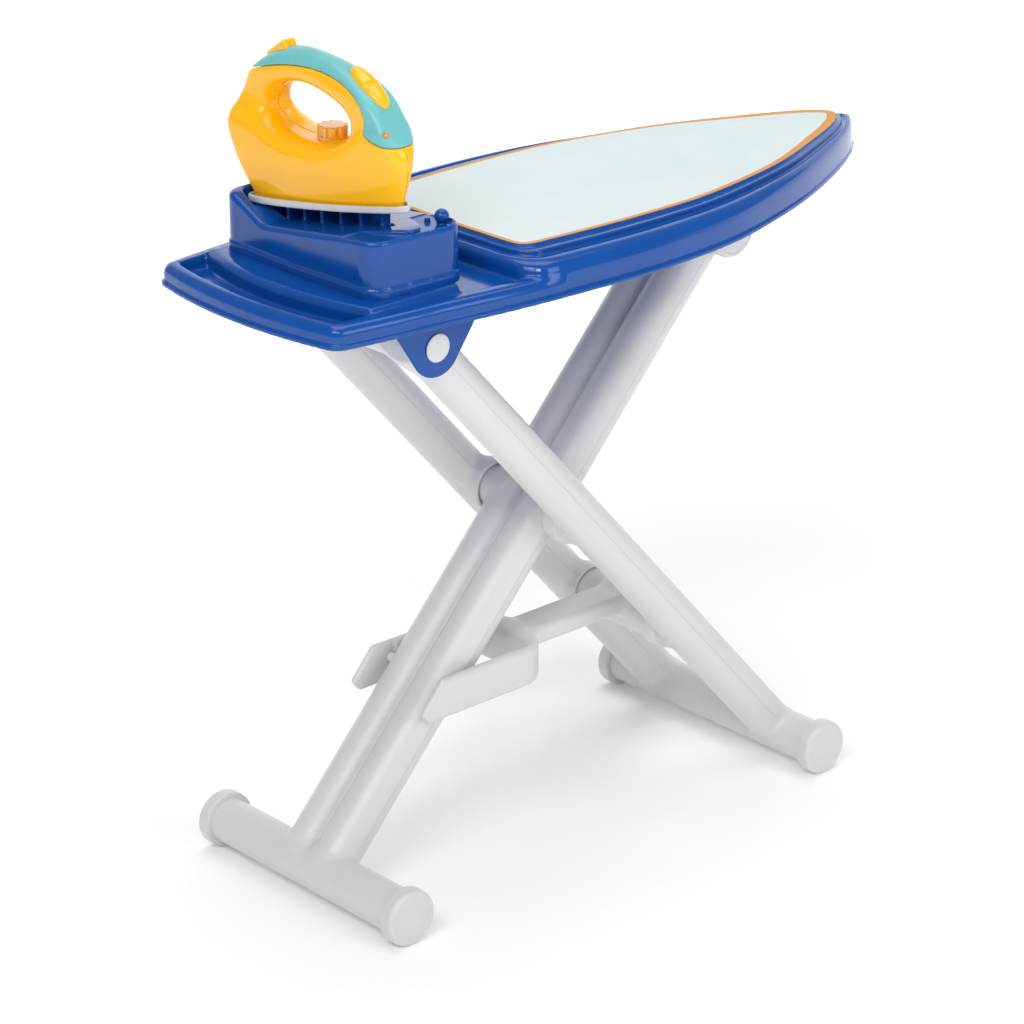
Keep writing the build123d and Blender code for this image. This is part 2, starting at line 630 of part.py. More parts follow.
def rocker_button():
    """Oval rocker with two low domes and a crease between them."""
    plan = Ellipse(ROCKER_HALF_LENGTH, ROCKER_HALF_WIDTH)
    button = extrude(Pos(0, 0, -ROCKER_SUNK) * plan, ROCKER_SUNK + ROCKER_PROUD)
    button = fillet(button.edges().group_by(Axis.Z)[-1], 2.4)
    button -= Pos(0, 0, ROCKER_PROUD + 0.9) * Rot(90, 0, 0) * Cylinder(1.6, 40)
    return rocker_frame() * button


def thumb_frame():
    """Plane on the slope at the rear of the handle where the thumb button lies."""
    y, z = THUMB_AT
    lean = math.radians(THUMB_LEAN)
    return Plane(origin=(IRON_X, y, z), x_dir=(0, -math.cos(lean), math.sin(lean)),
                 z_dir=(0, math.sin(lean), math.cos(lean)))


def thumb_slot():
    """Slot in the top cover for the thumb button."""
    return extrude(thumb_frame() * Rectangle(THUMB_LENGTH + 0.8, THUMB_WIDTH + 0.8), 9, both=True)


def rear_button():
    """Thumb button that stands out of the rear of the handle."""
    plan = RectangleRounded(THUMB_LENGTH, THUMB_WIDTH, 3.0)
    button = extrude(Pos(0, 0, -THUMB_SUNK) * plan, THUMB_SUNK + THUMB_PROUD)
    button = fillet(button.edges().group_by(Axis.Z)[-1], 2.0)
    return thumb_frame() * button


def lens_shape(grow):
    """Small round pilot lens on the near side of the nose."""
    base = Vector(IRON_X - LENS_SIDE, LENS_Y, LENS_Z)
    return Plane(origin=base, z_dir=Vector(*LENS_FACING)) * Cylinder(LENS_R + grow, LENS_LENGTH)


def pilot_lens():
    """The lens with a domed end."""
    lens = lens_shape(0)
    outer_edge = min(lens.edges(), key=lambda e: e.center().Y)
    return fillet(outer_edge, 1.2)


# ---- legs --------------------------------------------------------------------------------------
def toward(start, end, distance):
    """The point at a distance from start on the way to end, in the XZ plane."""
    run = math.hypot(end[0] - start[0], end[1] - start[1])
    return (start[0] + (end[0] - start[0]) * distance / run, start[1] + (end[1] - start[1]) * distance / run)


OUTER_FOOT = (OUTER_FOOT_X, FOOT_Z)
INNER_FOOT = (INNER_FOOT_X, FOOT_Z)
BOARD_PIVOT = (PIVOT_X, PIVOT_Z)
SLIDE_BAR = (SLIDE_X, SLIDE_Z)


def crossing():
    """Where the two leg axes cross, seen from the side."""
    (x1, z1), (x2, z2), (x3, z3), (x4, z4) = OUTER_FOOT, BOARD_PIVOT, INNER_FOOT, SLIDE_BAR
    across = (x1 - x2) * (z3 - z4) - (z1 - z2) * (x3 - x4)
    part = ((x1 - x3) * (z3 - z4) - (z1 - z3) * (x3 - x4)) / across
    return (x1 + part * (x2 - x1), z1 + part * (z2 - z1))


CROSS = crossing()
FORK_AXIS = toward(CROSS, OUTER_FOOT, FORK_DISTANCE)


def cross_tube(x, z, half):
    """Hollow tube across the frame, closed by its end walls."""
    core = rod_y(x, z, TUBE_R - TUBE_WALL, -half + PIN_REACH / 4, half - PIN_REACH / 4)
    return rod_y(x, z, TUBE_R, -half, half) - core


def end_cap(x, z, side, half):
    """Pressed-on round cap: an outer rim round the tube's end and a slightly rounded face."""
    open_end = half - CAP_LENGTH
    cap = rod_y(x, z, CAP_R, side * open_end, side * half)
    circles = [e for e in cap.edges() if e.geom_type == GeomType.CIRCLE]
    cap = fillet([e for e in circles if abs(abs(e.center().Y) - half) < 0.01], CAP_ROUND)
    return cap - rod_y(x, z, TUBE_R + 0.05, side * (open_end - 1), side * (open_end + CAP_SOCKET))


def foot_tube(x, half):
    """Tube of a foot between its two caps."""
    return cross_tube(x, FOOT_Z, half - CAP_LENGTH + CAP_SOCKET - 0.5)


def leg_tube(start, end, y):
    """Hollow tube between two places seen from the side."""
    outer = rod_between((start[0], y, start[1]), (end[0], y, end[1]), LEG_R)
    inner = rod_between((start[0], y, start[1]), (end[0], y, end[1]), LEG_R - TUBE_WALL)
    return outer, inner


def outer_leg(side):
    """Outer leg tube, from the foot tube to the top tube."""
    outer, inner = leg_tube(OUTER_FOOT, BOARD_PIVOT, side * OUTER_LEG_Y)
    leg = outer - inner
    leg -= rod_y(*OUTER_FOOT, TUBE_R, side * 40, side * 100)
    leg -= rod_y(*BOARD_PIVOT, TUBE_R, side * 40, side * 100)
    return biggest(leg)


def leg_socket(side, place, face):
    """Flared socket on an outer leg's inner face, for the hub or for the fork's journal."""
    root = OUTER_LEG_Y - SOCKET_SINK
    boss = rod_y(*place, BOSS_R, side * face, side * root)
    flare = rod_y(*place, BOSS_R + FLARE, side * (face + FLARE_START), side * root)
    bore = rod_y(*place, SOCKET_R, side * (face - 1), side * SOCKET_FLOOR_Y)
    leg = leg_tube(OUTER_FOOT, BOARD_PIVOT, side * OUTER_LEG_Y)[0]
    return biggest(boss + flare - bore - leg)


def top_cross_tube():
    """Tube joining the tops of the outer legs, with a bored wall at each end for the pivot pins."""
    tube = cross_tube(*BOARD_PIVOT, OUTER_LEG_Y + TUBE_R)
    for side in (-1, 1):
        end = OUTER_LEG_Y + TUBE_R
        tube += rod_y(*BOARD_PIVOT, PIN_R + 4, side * (end - PIN_REACH), side * end)
        tube -= rod_y(*BOARD_PIVOT, PIN_R + 0.02, side * (end - PIN_REACH - 1), side * (end + 1))
    return tube


def inner_column():
    """Two tubes side by side, moulded as one column between the inner foot and the slide bar."""
    near = leg_tube(INNER_FOOT, SLIDE_BAR, -COLUMN_TUBE_Y)
    far = leg_tube(INNER_FOOT, SLIDE_BAR, COLUMN_TUBE_Y)
    column = near[0] + far[0] - near[1] - far[1]
    column -= rod_y(*INNER_FOOT, TUBE_R, -60, 60)
    column -= rod_y(*SLIDE_BAR, TUBE_R, -60, 60)
    return biggest(column)


def cross_hub(side):
    """Round hub on the side of the column, that turns in an outer leg's socket."""
    hub = rod_y(*CROSS, JOURNAL_R, side * COLUMN_TUBE_Y, side * JOURNAL_END_Y)
    return biggest(hub - leg_tube(INNER_FOOT, SLIDE_BAR, side * COLUMN_TUBE_Y)[0])


def lock_peg(side):
    """Small peg on the side of the column that the fork's shoulder meets."""
    peg = rod_y(PEG_X, PEG_Z, PEG_R, side * COLUMN_TUBE_Y * 1.9, side * PEG_END_Y)
    return biggest(peg - leg_tube(INNER_FOOT, SLIDE_BAR, side * COLUMN_TUBE_Y)[0])


# ---- locking fork ------------------------------------------------------------------------------
def fork_journal():
    """Tube that the fork swings on, turning in the outer legs' sockets."""
    tube = rod_y(*FORK_AXIS, JOURNAL_R, -JOURNAL_END_Y, JOURNAL_END_Y)
    return tube - rod_y(*FORK_AXIS, JOURNAL_R - TUBE_WALL, WALL - JOURNAL_END_Y, JOURNAL_END_Y - WALL)


def locking_fork():
    """Arm from the journal to a U-shaped web, and two prongs that hold the inner column's pegs."""
    x, z = FORK_AXIS
    arm = block(WEB_OUTER_X - 6, x, -ARM_HALF, ARM_HALF, ARM_BOTTOM, ARM_TOP)
    bow_end = WEB_OUTER_X - WEB_BOW
    bow = ThreePointArc((bow_end, -FORK_OUTER_Y), (WEB_OUTER_X, 0), (bow_end, FORK_OUTER_Y))
    tips = Polyline((bow_end, FORK_OUTER_Y), (PRONG_TIP_X, FORK_OUTER_Y), (PRONG_TIP_X, -FORK_OUTER_Y),
                    (bow_end, -FORK_OUTER_Y))
    plan = closed_face(Plane.XY, bow, tips)
    plan = fillet([v for v in plan.vertices() if v.X > bow_end - 1], WEB_OUTER_CORNER_R)
    gap = Pos(WEB_INNER_X - BEYOND, 0) * Rectangle(2 * BEYOND, 2 * FORK_INNER_Y)
    plan -= fillet([v for v in gap.vertices() if v.X > WEB_INNER_X - 1], WEB_INNER_CORNER_R)
    side = closed_face(Plane.XZ, Polyline(
        (WEB_OUTER_X + 10, ARM_TOP), (WEB_OUTER_X - 12, FORK_TOP), (PRONG_TOP_X, FORK_TOP + 1),
        (PRONG_TIP_X, PRONG_TIP_Z), (PRONG_TIP_X + 7, FORK_BOTTOM), (bow_end, FORK_BOTTOM),
        (WEB_OUTER_X, FORK_BOTTOM + 6), (WEB_OUTER_X + 10, ARM_BOTTOM), close=True))
    below, above = FORK_BOTTOM - 10, FORK_TOP + 10
    fork = slab(plan, below, above) & extrude(side, FORK_OUTER_Y + 10, both=True)
    pocket = block(PRONG_TIP_X - 10, SHOULDER_X, -FORK_POCKET_Y, FORK_POCKET_Y, below, above)
    return biggest(fork + arm - pocket - rod_y(x, z, JOURNAL_R, -60, 60))


# ---- the assembly ------------------------------------------------------------------------------
def build_nodes():
    """Every node by name."""
    body_left, body_right, top_cover = iron_shells()
    nodes = {
        "board_shell": board_shell(),
        "cover_sheet": cover_sheet(),
        "iron_rest": iron_rest(),
        "rest_knob": rest_knob(),
        "rest_peg": rest_peg(),
        "outer_foot_tube": foot_tube(OUTER_FOOT_X, OUTER_FOOT_HALF),
        "top_cross_tube": top_cross_tube(),
        "inner_column": inner_column(),
        "inner_foot_tube": foot_tube(INNER_FOOT_X, INNER_FOOT_HALF),
        "slide_bar": cross_tube(*SLIDE_BAR, SLIDE_HALF - CAP_LENGTH + CAP_SOCKET - 0.5),
        "fork_journal": fork_journal(),
        "locking_fork": locking_fork(),
        "soleplate": soleplate(),
        "body_left": body_left,
        "body_right": body_right,
        "top_cover": top_cover,
        "rocker_button": rocker_button(),
        "rear_button": rear_button(),
        "pilot_lens": pilot_lens(),
        "thermostat_dial": thermostat_dial(),
        "case_screws": case_screws(),
    }
    for word, side in (("near", -1), ("far", 1)):
        nodes["pivot_ear_" + word] = pivot_ear(side)
        nodes["pivot_pin_" + word] = pivot_pin(side)
        nodes["slide_rail_" + word] = slide_rail(side)
        nodes["outer_leg_" + word] = outer_leg(side)
        nodes["hub_socket_" + word] = leg_socket(side, CROSS, HUB_BOSS_Y)
        nodes["journal_socket_" + word] = leg_socket(side, FORK_AXIS, FORK_BOSS_Y)
        nodes["cross_hub_" + word] = cross_hub(side)
        nodes["outer_foot_cap_" + word] = end_cap(OUTER_FOOT_X, FOOT_Z, side, OUTER_FOOT_HALF)
        nodes["inner_foot_cap_" + word] = end_cap(INNER_FOOT_X, FOOT_Z, side, INNER_FOOT_HALF)
        nodes["slide_cap_" + word] = end_cap(*SLIDE_BAR, side, SLIDE_HALF)
        nodes["lock_peg_" + word] = lock_peg(side)
    return nodes


os.makedirs("parts", exist_ok=True)
for name, solid in build_nodes().items():
    export_step(solid, "parts/" + name + ".step")
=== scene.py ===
import math

import bpy
import numpy as np
from mathutils import Matrix, Vector


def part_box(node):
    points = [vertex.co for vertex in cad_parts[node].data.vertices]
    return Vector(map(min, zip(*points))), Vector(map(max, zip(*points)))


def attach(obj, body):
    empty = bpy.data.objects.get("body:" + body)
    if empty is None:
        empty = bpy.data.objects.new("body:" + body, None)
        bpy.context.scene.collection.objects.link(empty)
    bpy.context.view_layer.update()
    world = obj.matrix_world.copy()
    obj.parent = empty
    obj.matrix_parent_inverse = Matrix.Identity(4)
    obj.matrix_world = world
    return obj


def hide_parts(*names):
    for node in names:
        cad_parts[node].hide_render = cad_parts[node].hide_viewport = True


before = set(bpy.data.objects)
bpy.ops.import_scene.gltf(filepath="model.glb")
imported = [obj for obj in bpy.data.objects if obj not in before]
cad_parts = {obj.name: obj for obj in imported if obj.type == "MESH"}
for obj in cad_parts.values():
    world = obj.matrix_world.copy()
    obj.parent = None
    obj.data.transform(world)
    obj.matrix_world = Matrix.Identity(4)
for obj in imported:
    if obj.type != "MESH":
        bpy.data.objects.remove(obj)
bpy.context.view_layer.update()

# The object is worked out in millimetres and written to the meshes in metres.
MM = 0.001
SIDES = (("near", -1), ("far", 1))


# ---- shapes as distance functions --------------------------------------------------------------
# A shape is a function of coordinate arrays x, y, z that is negative inside. Its surface is read
# off on a grid and then pulled exactly onto the zero level, so that blends are smooth fillets.

def smooth_min(a, b, blend):
    """Union of two shapes with a fillet."""
    near = np.maximum(blend - np.abs(a - b), 0.0)
    return np.minimum(a, b) - near * near / (4.0 * blend)


def smooth_max(a, b, blend):
    """Intersection of two shapes with a rounded edge."""
    return -smooth_min(-a, -b, blend)


def step_up(value, low, high):
    """Smooth step from 0 at low to 1 at high."""
    t = np.clip((value - low) / (high - low), 0.0, 1.0)
    return t * t * (3.0 - 2.0 * t)


def rod(x, y, z, start, end, radius, round_edge=1.5):
    """Distance to a round rod with flat ends."""
    a, b = np.array(start, float), np.array(end, float)
    length = np.linalg.norm(b - a)
    d = (b - a) / length
    along = (x - a[0]) * d[0] + (y - a[1]) * d[1] + (z - a[2]) * d[2]
    px = x - a[0] - along * d[0]
    py = y - a[1] - along * d[1]
    pz = z - a[2] - along * d[2]
    radial = np.sqrt(px * px + py * py + pz * pz) - radius
    return smooth_max(radial, np.abs(along - length / 2) - length / 2, round_edge)


def box_shape(x, y, z, low, high, round_edge):
    """Distance to a box with rounded edges."""
    parts = []
    for value, lo, hi in ((x, low[0], high[0]), (y, low[1], high[1]), (z, low[2], high[2])):
        parts.append(np.abs(value - (lo + hi) / 2) - (hi - lo) / 2 + round_edge)
    outside = np.sqrt(sum(np.maximum(part, 0.0) ** 2 for part in parts))
    inside = np.minimum(np.maximum(np.maximum(parts[0], parts[1]), parts[2]), 0.0)
    return outside + inside - round_edge


def curve_points(points, closed=False, per_span=12):
    """Points along a smooth curve through the given points (Catmull-Rom)."""
    pts = [np.array(p, float) for p in points]
    if closed:
        pts = [pts[-1]] + pts + pts[:2]
    else:
        pts = [2 * pts[0] - pts[1]] + pts + [2 * pts[-1] - pts[-2]]
    out = []
    for p0, p1, p2, p3 in zip(pts, pts[1:], pts[2:], pts[3:]):
        knots = [0.0]
        for a, b in ((p0, p1), (p1, p2), (p2, p3)):
            knots.append(knots[-1] + max(np.linalg.norm(b - a), 1e-6) ** 0.5)
        k0, k1, k2, k3 = knots
        for t in np.linspace(k1, k2, per_span, endpoint=False):
            a1 = (k1 - t) / (k1 - k0) * p0 + (t - k0) / (k1 - k0) * p1
            a2 = (k2 - t) / (k2 - k1) * p1 + (t - k1) / (k2 - k1) * p2
            a3 = (k3 - t) / (k3 - k2) * p2 + (t - k2) / (k3 - k2) * p3
            b1 = (k2 - t) / (k2 - k0) * a1 + (t - k0) / (k2 - k0) * a2
            b2 = (k3 - t) / (k3 - k1) * a2 + (t - k1) / (k3 - k1) * a3
            out.append((k2 - t) / (k2 - k1) * b1 + (t - k1) / (k2 - k1) * b2)
    if not closed:
        out.append(pts[-2])
    return np.array(out)


def rounded_corners(points, radius, steps=8):
    """A closed polygon with each corner cut to an arc; radius is one value or one per corner."""
    radii = radius if isinstance(radius, (list, tuple)) else [radius] * len(points)
    out = []
    count = len(points)
    for i, r in enumerate(radii):
        here = np.array(points[i], float)
        if r <= 0:
            out.append(here)
            continue
        before = np.array(points[i - 1], float) - here
        after = np.array(points[(i + 1) % count], float) - here
        u, v = before / np.linalg.norm(before), after / np.linalg.norm(after)
        half = math.acos(float(np.clip(u @ v, -1, 1))) / 2
        reach = r / math.tan(half)
        start, end = here + u * reach, here + v * reach
        middle = here + (u + v) / np.linalg.norm(u + v) * (r / math.sin(half))
        a0 = math.atan2(*(start - middle)[::-1])
        a1 = math.atan2(*(end - middle)[::-1])
        turn = (a1 - a0 + math.pi) % (2 * math.pi) - math.pi
        for k in range(steps + 1):
            angle = a0 + turn * k / steps
            out.append(middle + r * np.array([math.cos(angle), math.sin(angle)]))
    return np.array(out)


def polygon_distance(px, py, polygon):
    """Signed distance in a plane to a closed polygon, negative inside."""
    shape = px.shape
    px, py = px.ravel(), py.ravel()
    best = np.full(px.shape, 1e12)
    inside = np.zeros(px.shape, bool)
    for (ax, ay), (bx, by) in zip(polygon, np.roll(polygon, -1, axis=0)):
        ex, ey = bx - ax, by - ay
        wx, wy = px - ax, py - ay
        t = np.clip((wx * ex + wy * ey) / max(ex * ex + ey * ey, 1e-12), 0.0, 1.0)
        dx, dy = wx - ex * t, wy - ey * t
        best = np.minimum(best, dx * dx + dy * dy)
        crosses = (ay > py) != (by > py)
        side = (px - ax) * ey - ex * (py - ay)
        inside ^= crosses & ((side < 0) == (ey > 0))
    distance = np.sqrt(best)
    return np.where(inside, -distance, distance).reshape(shape)


def flat_map(polygon):
    """A function of (u, v) giving the distance to a polygon, worked out once per grid column."""
    def distance(u, v):
        # a grid repeats each (u, v) along its third axis, so only one layer is worked out
        if u.ndim == 3:
            for axis in range(3):
                first = [slice(None)] * 3
                first[axis] = slice(0, 1)
                first = tuple(first)
                if np.shares_memory(u, u[first]) and u.strides[axis] == 0 and v.strides[axis] == 0:
                    flat = polygon_distance(u[first], v[first], polygon)
                    return np.broadcast_to(flat, u.shape)
        return polygon_distance(u, v, polygon)
    return distance


CORNERS = [(i, j, k) for i in (0, 1) for j in (0, 1) for k in (0, 1)]


def surface_mesh(shape, low, high, step):
    """Vertices and quads of a shape's surface, by one vertex in each grid cell that it crosses."""
    steps = np.array(step if isinstance(step, (tuple, list)) else [step] * 3, float)
    axes = [np.arange(lo, hi + s, s) for lo, hi, s in zip(low, high, steps)]
    gx, gy, gz = np.broadcast_arrays(axes[0][:, None, None], axes[1][None, :, None], axes[2][None, None, :])
    values = np.asarray(shape(gx, gy, gz), np.float32)
    inside = values < 0
    cells = tuple(n - 1 for n in values.shape)
    total = np.zeros(cells, np.int8)
    for i, j, k in CORNERS:
        total += inside[i:i + cells[0], j:j + cells[1], k:k + cells[2]]
    active = (total > 0) & (total < 8)
    index = np.full(cells, -1, np.int64)
    where = np.argwhere(active)
    index[active] = np.arange(len(where))
    sums = np.zeros((len(where), 3))
    hits = np.zeros(len(where))
    for a in CORNERS:
        for axis in range(3):
            if a[axis] == 1:
                continue
            b = list(a)
            b[axis] = 1
            fa = values[where[:, 0] + a[0], where[:, 1] + a[1], where[:, 2] + a[2]]
            fb = values[where[:, 0] + b[0], where[:, 1] + b[1], where[:, 2] + b[2]]
            cut = (fa < 0) != (fb < 0)
            t = np.where(cut, fa / np.where(cut, fa - fb, 1.0), 0.0)
            point = np.array(a, float)[None, :].repeat(len(where), 0)
            point[:, axis] += t
            sums += np.where(cut[:, None], point, 0.0)
            hits += cut
    verts = np.array(low, float) + (where + sums / hits[:, None]) * steps
    quads = []
    for axis in range(3):
        lo = [slice(0, None)] * 3
        hi = [slice(0, None)] * 3
        lo[axis] = slice(0, -1)
        hi[axis] = slice(1, None)
        crossing = inside[tuple(lo)] != inside[tuple(hi)]
        p, q = [n for n in range(3) if n != axis]
        at = np.argwhere(crossing)
        at = at[(at[:, p] > 0) & (at[:, q] > 0) & (at[:, p] < cells[p]) & (at[:, q] < cells[q])]
        starts = inside[tuple(at.T)]
        around = []
        for dp, dq in ((1, 1), (0, 1), (0, 0), (1, 0)):
            cell = at.copy()
            cell[:, p] -= dp
            cell[:, q] -= dq
            around.append(index[tuple(cell.T)])
        around = np.stack(around, 1)
        flip = starts if axis != 1 else ~starts
        around[~flip] = around[~flip][:, ::-1]
        quads.append(around)
    quads = np.concatenate(quads)
    quads = quads[(quads >= 0).all(1)]
    return pull_to_surface(shape, verts, float(steps.min())), quads


def pull_to_surface(shape, verts, step):
    """Move each vertex along the gradient onto the shape's surface."""
    reach = 0.25 * step
    for _ in range(2):
        x, y, z = verts.T
        value = shape(x, y, z)
        slope = np.stack([shape(x + reach, y, z) - shape(x - reach, y, z),
                          shape(x, y + reach, z) - shape(x, y - reach, z),
                          shape(x, y, z + reach) - shape(x, y, z - reach)], 1) / (2 * reach)
        size = np.maximum((slope ** 2).sum(1), 0.05)
        move = -slope * (value / size)[:, None]
        length = np.linalg.norm(move, axis=1)
        move *= np.minimum(1.0, step / np.maximum(length, 1e-9))[:, None]
        verts = verts + move
    return verts


def new_piece(name, verts, faces, material, body, nodes=()):
    """An object from vertices in millimetres, riding on a body and standing for CAD nodes."""
    mesh = bpy.data.meshes.new(name)
    verts = np.asarray(verts, float) * MM
    mesh.vertices.add(len(verts))
    mesh.vertices.foreach_set("co", verts.astype(np.float32).ravel())
    sizes = [len(face) for face in faces]
    flat = np.concatenate([np.asarray(face, np.int32) for face in faces])
    mesh.loops.add(len(flat))
    mesh.loops.foreach_set("vertex_index", flat)
    mesh.polygons.add(len(sizes))
    mesh.polygons.foreach_set("loop_start", np.concatenate([[0], np.cumsum(sizes)[:-1]]).astype(np.int32))
    mesh.update(calc_edges=True)
    mesh.validate()
    mesh.polygons.foreach_set("use_smooth", [True] * len(mesh.polygons))
    mesh.materials.append(material)
    piece = bpy.data.objects.new(name, mesh)
    bpy.context.scene.collection.objects.link(piece)
    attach(piece, body)
    if nodes:
        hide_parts(*nodes)
    return piece


def shape_piece(name, shape, low, high, step, material, body, slot, nodes=()):
    """A piece made from a distance function."""
    verts, quads = surface_mesh(shape, low, high, step)
    return new_piece(name, verts, quads, material, body, nodes)


# ---- places taken from the frame ---------------------------------------------------------------
def node_box(name):
    """Lowest and highest corner of a CAD node in millimetres."""
    low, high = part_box(name)
    return np.array(low) / MM, np.array(high) / MM


def node_middle(name):
    """Middle of a CAD node's box in millimetres."""
    low, high = node_box(name)
    return (low + high) / 2


TUBE_R = 18.2            # feet, top tube and slide bar
LEG_R = 18.1
HUB_R = 18.0             # the hub and the fork's barrel
BOSS_R = 21.6            # outside of the sockets on the legs
SOCKET_R = 18.5
HUB_BOSS_Y = 37.9        # inner faces of the hub's and the fork's sockets
FORK_BOSS_Y = 40.6
SOCKET_FLOOR_Y = 49.0
SOCKET_ROOT_Y = 52.0
LEG_Y = 67.9             # middle of an outer leg
COLUMN_Y = 15.8          # middle of each tube of the column

FOOT_OUT = node_middle("outer_foot_tube")
FOOT_IN = node_middle("inner_foot_tube")
TOP = node_middle("top_cross_tube")
SLIDE = node_middle("slide_bar")
JOURNAL = node_middle("fork_journal")
JOURNAL_HALF = node_box("fork_journal")[1][1]


def crossing(a, b, c, d):
    """Where line ab meets line cd, seen from the side."""
    across = (a[0] - b[0]) * (c[2] - d[2]) - (a[2] - b[2]) * (c[0] - d[0])
    part = ((a[0] - c[0]) * (c[2] - d[2]) - (a[2] - c[2]) * (c[0] - d[0])) / across
    return a + part * (b - a)


CROSS = crossing(FOOT_OUT, TOP, FOOT_IN, SLIDE)


def at_y(point, y):
    """The same place seen from the side, at another Y."""
    return (point[0], y, point[2])


# ---- materials ---------------------------------------------------------------------------------
def srgb(red, green, blue):
    """A colour given as 0 to 255 in sRGB, as linear values."""
    def linear(value):
        value /= 255.0
        return value / 12.92 if value <= 0.04045 else ((value + 0.055) / 1.055) ** 2.4
    return (linear(red), linear(green), linear(blue), 1.0)


def fill_inputs(tree, node, inputs):
    """Set a node's inputs: another node's socket is linked, any other value is set."""
    for key, value in inputs.items():
        if isinstance(value, bpy.types.NodeSocket):
            tree.links.new(value, node.inputs[key])
        else:
            node.inputs[key].default_value = value
    return node


def add_node(tree, kind, inputs):
    """A new shader node with its inputs."""
    return fill_inputs(tree, tree.nodes.new(kind), inputs)


def map_range(tree, value, from_low, from_high, to_low, to_high, curve="LINEAR"):
    """A factor that runs from one range to another, held at its ends."""
    ramp = add_node(tree, "ShaderNodeMapRange", {
        "Value": value, "From Min": from_low, "From Max": from_high, "To Min": to_low, "To Max": to_high})
    ramp.interpolation_type = curve
    return ramp.outputs["Result"]


def mix_colour(tree, factor, first, second, blend="MIX"):
    """A mix of two colours."""
    mix = tree.nodes.new("ShaderNodeMix")
    mix.data_type = "RGBA"
    mix.blend_type = blend
    return fill_inputs(tree, mix, {0: factor, 6: first, 7: second}).outputs[2]


def noise(tree, scale, detail):
    """A noise in the object's own space."""
    place = tree.nodes.new("ShaderNodeTexCoord")
    return add_node(tree, "ShaderNodeTexNoise", {
        "Vector": place.outputs["Object"], "Scale": scale, "Detail": detail}).outputs["Fac"]


def shaded(colour, factor, lift=0.0):
    """A colour made lighter or darker."""
    return tuple(min(c * factor + lift, 1.0) for c in colour[:3]) + (1.0,)


def plastic(name, colour, rough, grain=0.02, mottle=0.04, gloss=0.5, coat=0.0):
    """Moulded plastic: slight colour variation, a painted highlight that lightens sharp outer edges, fine
    grain in the bump, smudges in the roughness.
    """
    material = bpy.data.materials.new(name)
    material.use_nodes = True
    tree = material.node_tree
    shader = tree.nodes["Principled BSDF"]
    shader.inputs["IOR"].default_value = 1.5
    shader.inputs["Specular IOR Level"].default_value = gloss
    shader.inputs["Coat Weight"].default_value = coat
    shader.inputs["Coat Roughness"].default_value = 0.08
    tint = add_node(tree, "ShaderNodeValToRGB", {"Fac": noise(tree, 14.0, 3.0)})
    for stop, position, factor in zip(tint.color_ramp.elements, (0.3, 0.7), (1 - mottle, 1 + mottle)):
        stop.position = position
        stop.color = shaded(colour, factor)
    # painted highlight: sharp outer edges are lightened to stand in for the light they catch
    painted_edge_highlight = mix_colour(tree, edge_highlight_paint(tree), tint.outputs["Color"], shaded(colour, 1.25, 0.02))
    tree.links.new(painted_edge_highlight, shader.inputs["Base Color"])
    spread = map_range(tree, noise(tree, 35.0, 5.0), 0.3, 0.7, rough * 0.88, rough * 1.15)
    tree.links.new(spread, shader.inputs["Roughness"])
    bump = add_node(tree, "ShaderNodeBump", {
        "Height": noise(tree, 900.0, 2.0), "Strength": grain, "Distance": 0.0004})
    tree.links.new(bump.outputs["Normal"], shader.inputs["Normal"])
    return material


def edge_highlight_paint(tree):
    """A factor that is above 0 only along sharp outer edges, where a highlight is painted into the colour."""
    shape = tree.nodes.new("ShaderNodeNewGeometry")
    return map_range(tree, shape.outputs["Pointiness"], 0.56, 0.7, 0.0, 0.35)


def seam_line(material, attribute, width, tone):
    """A fine darker moulding line where a point attribute passes through zero."""
    tree = material.node_tree
    shader = tree.nodes["Principled BSDF"]
    source = tree.nodes.new("ShaderNodeAttribute")
    source.attribute_name = attribute
    away = add_node(tree, "ShaderNodeMath", {0: source.outputs["Fac"]})
    away.operation = "ABSOLUTE"
    line = map_range(tree, away.outputs[0], 0.0, width, 1.0, 0.0, "SMOOTHSTEP")
    base = shader.inputs["Base Color"].links[0].from_socket
    dark = mix_colour(tree, line, base, (tone, tone, tone, 1.0), "MULTIPLY")
    tree.links.new(dark, shader.inputs["Base Color"])
    ridge = add_node(tree, "ShaderNodeBump", {
        "Height": line, "Normal": shader.inputs["Normal"].links[0].from_socket,
        "Strength": 0.5, "Distance": 0.0006})
    tree.links.new(ridge.outputs["Normal"], shader.inputs["Normal"])
    return material


def point_attribute(piece, name, values):
    """Store a number per vertex."""
    attribute = piece.data.attributes.new(name, "FLOAT", "POINT")
    attribute.data.foreach_set("value", np.asarray(values, np.float32))


WHITE_LOOK = (srgb(212, 212, 213), 0.36, 0.05, 0.012)
WHITE = plastic("white_plastic", *WHITE_LOOK)
WHITE_LEG = seam_line(plastic("white_leg_plastic", *WHITE_LOOK), "seam", 0.9, 0.9)
BLUE = plastic("blue_plastic", srgb(10, 73, 152), 0.13, grain=0.012, mottle=0.04, gloss=0.35)
YELLOW = plastic("yellow_plastic", srgb(250, 184, 12), 0.13, grain=0.008, mottle=0.03)
TEAL = plastic("teal_plastic", srgb(106, 182, 184), 0.34, grain=0.04, mottle=0.03)
SILVER = plastic("sole_silver", srgb(196, 198, 200), 0.28, grain=0.03, mottle=0.02)
# painted shade: a darker copy of the sole's silver, for the sole's flat inside its rim, where the gutter
# beside the body lies in shade
SOLE_SHADE_GREY = plastic("sole_grey_painted_shade", srgb(150, 152, 152), 0.4, grain=0.05, mottle=0.03)


def amber():
    """Clear amber plastic for the dial and the pilot lens."""
    material = plastic("amber_clear", srgb(250, 176, 36), 0.1, grain=0.01, mottle=0.06, coat=0.5)
    shader = material.node_tree.nodes["Principled BSDF"]
    shader.inputs["Transmission Weight"].default_value = 0.4
    return material


AMBER = amber()


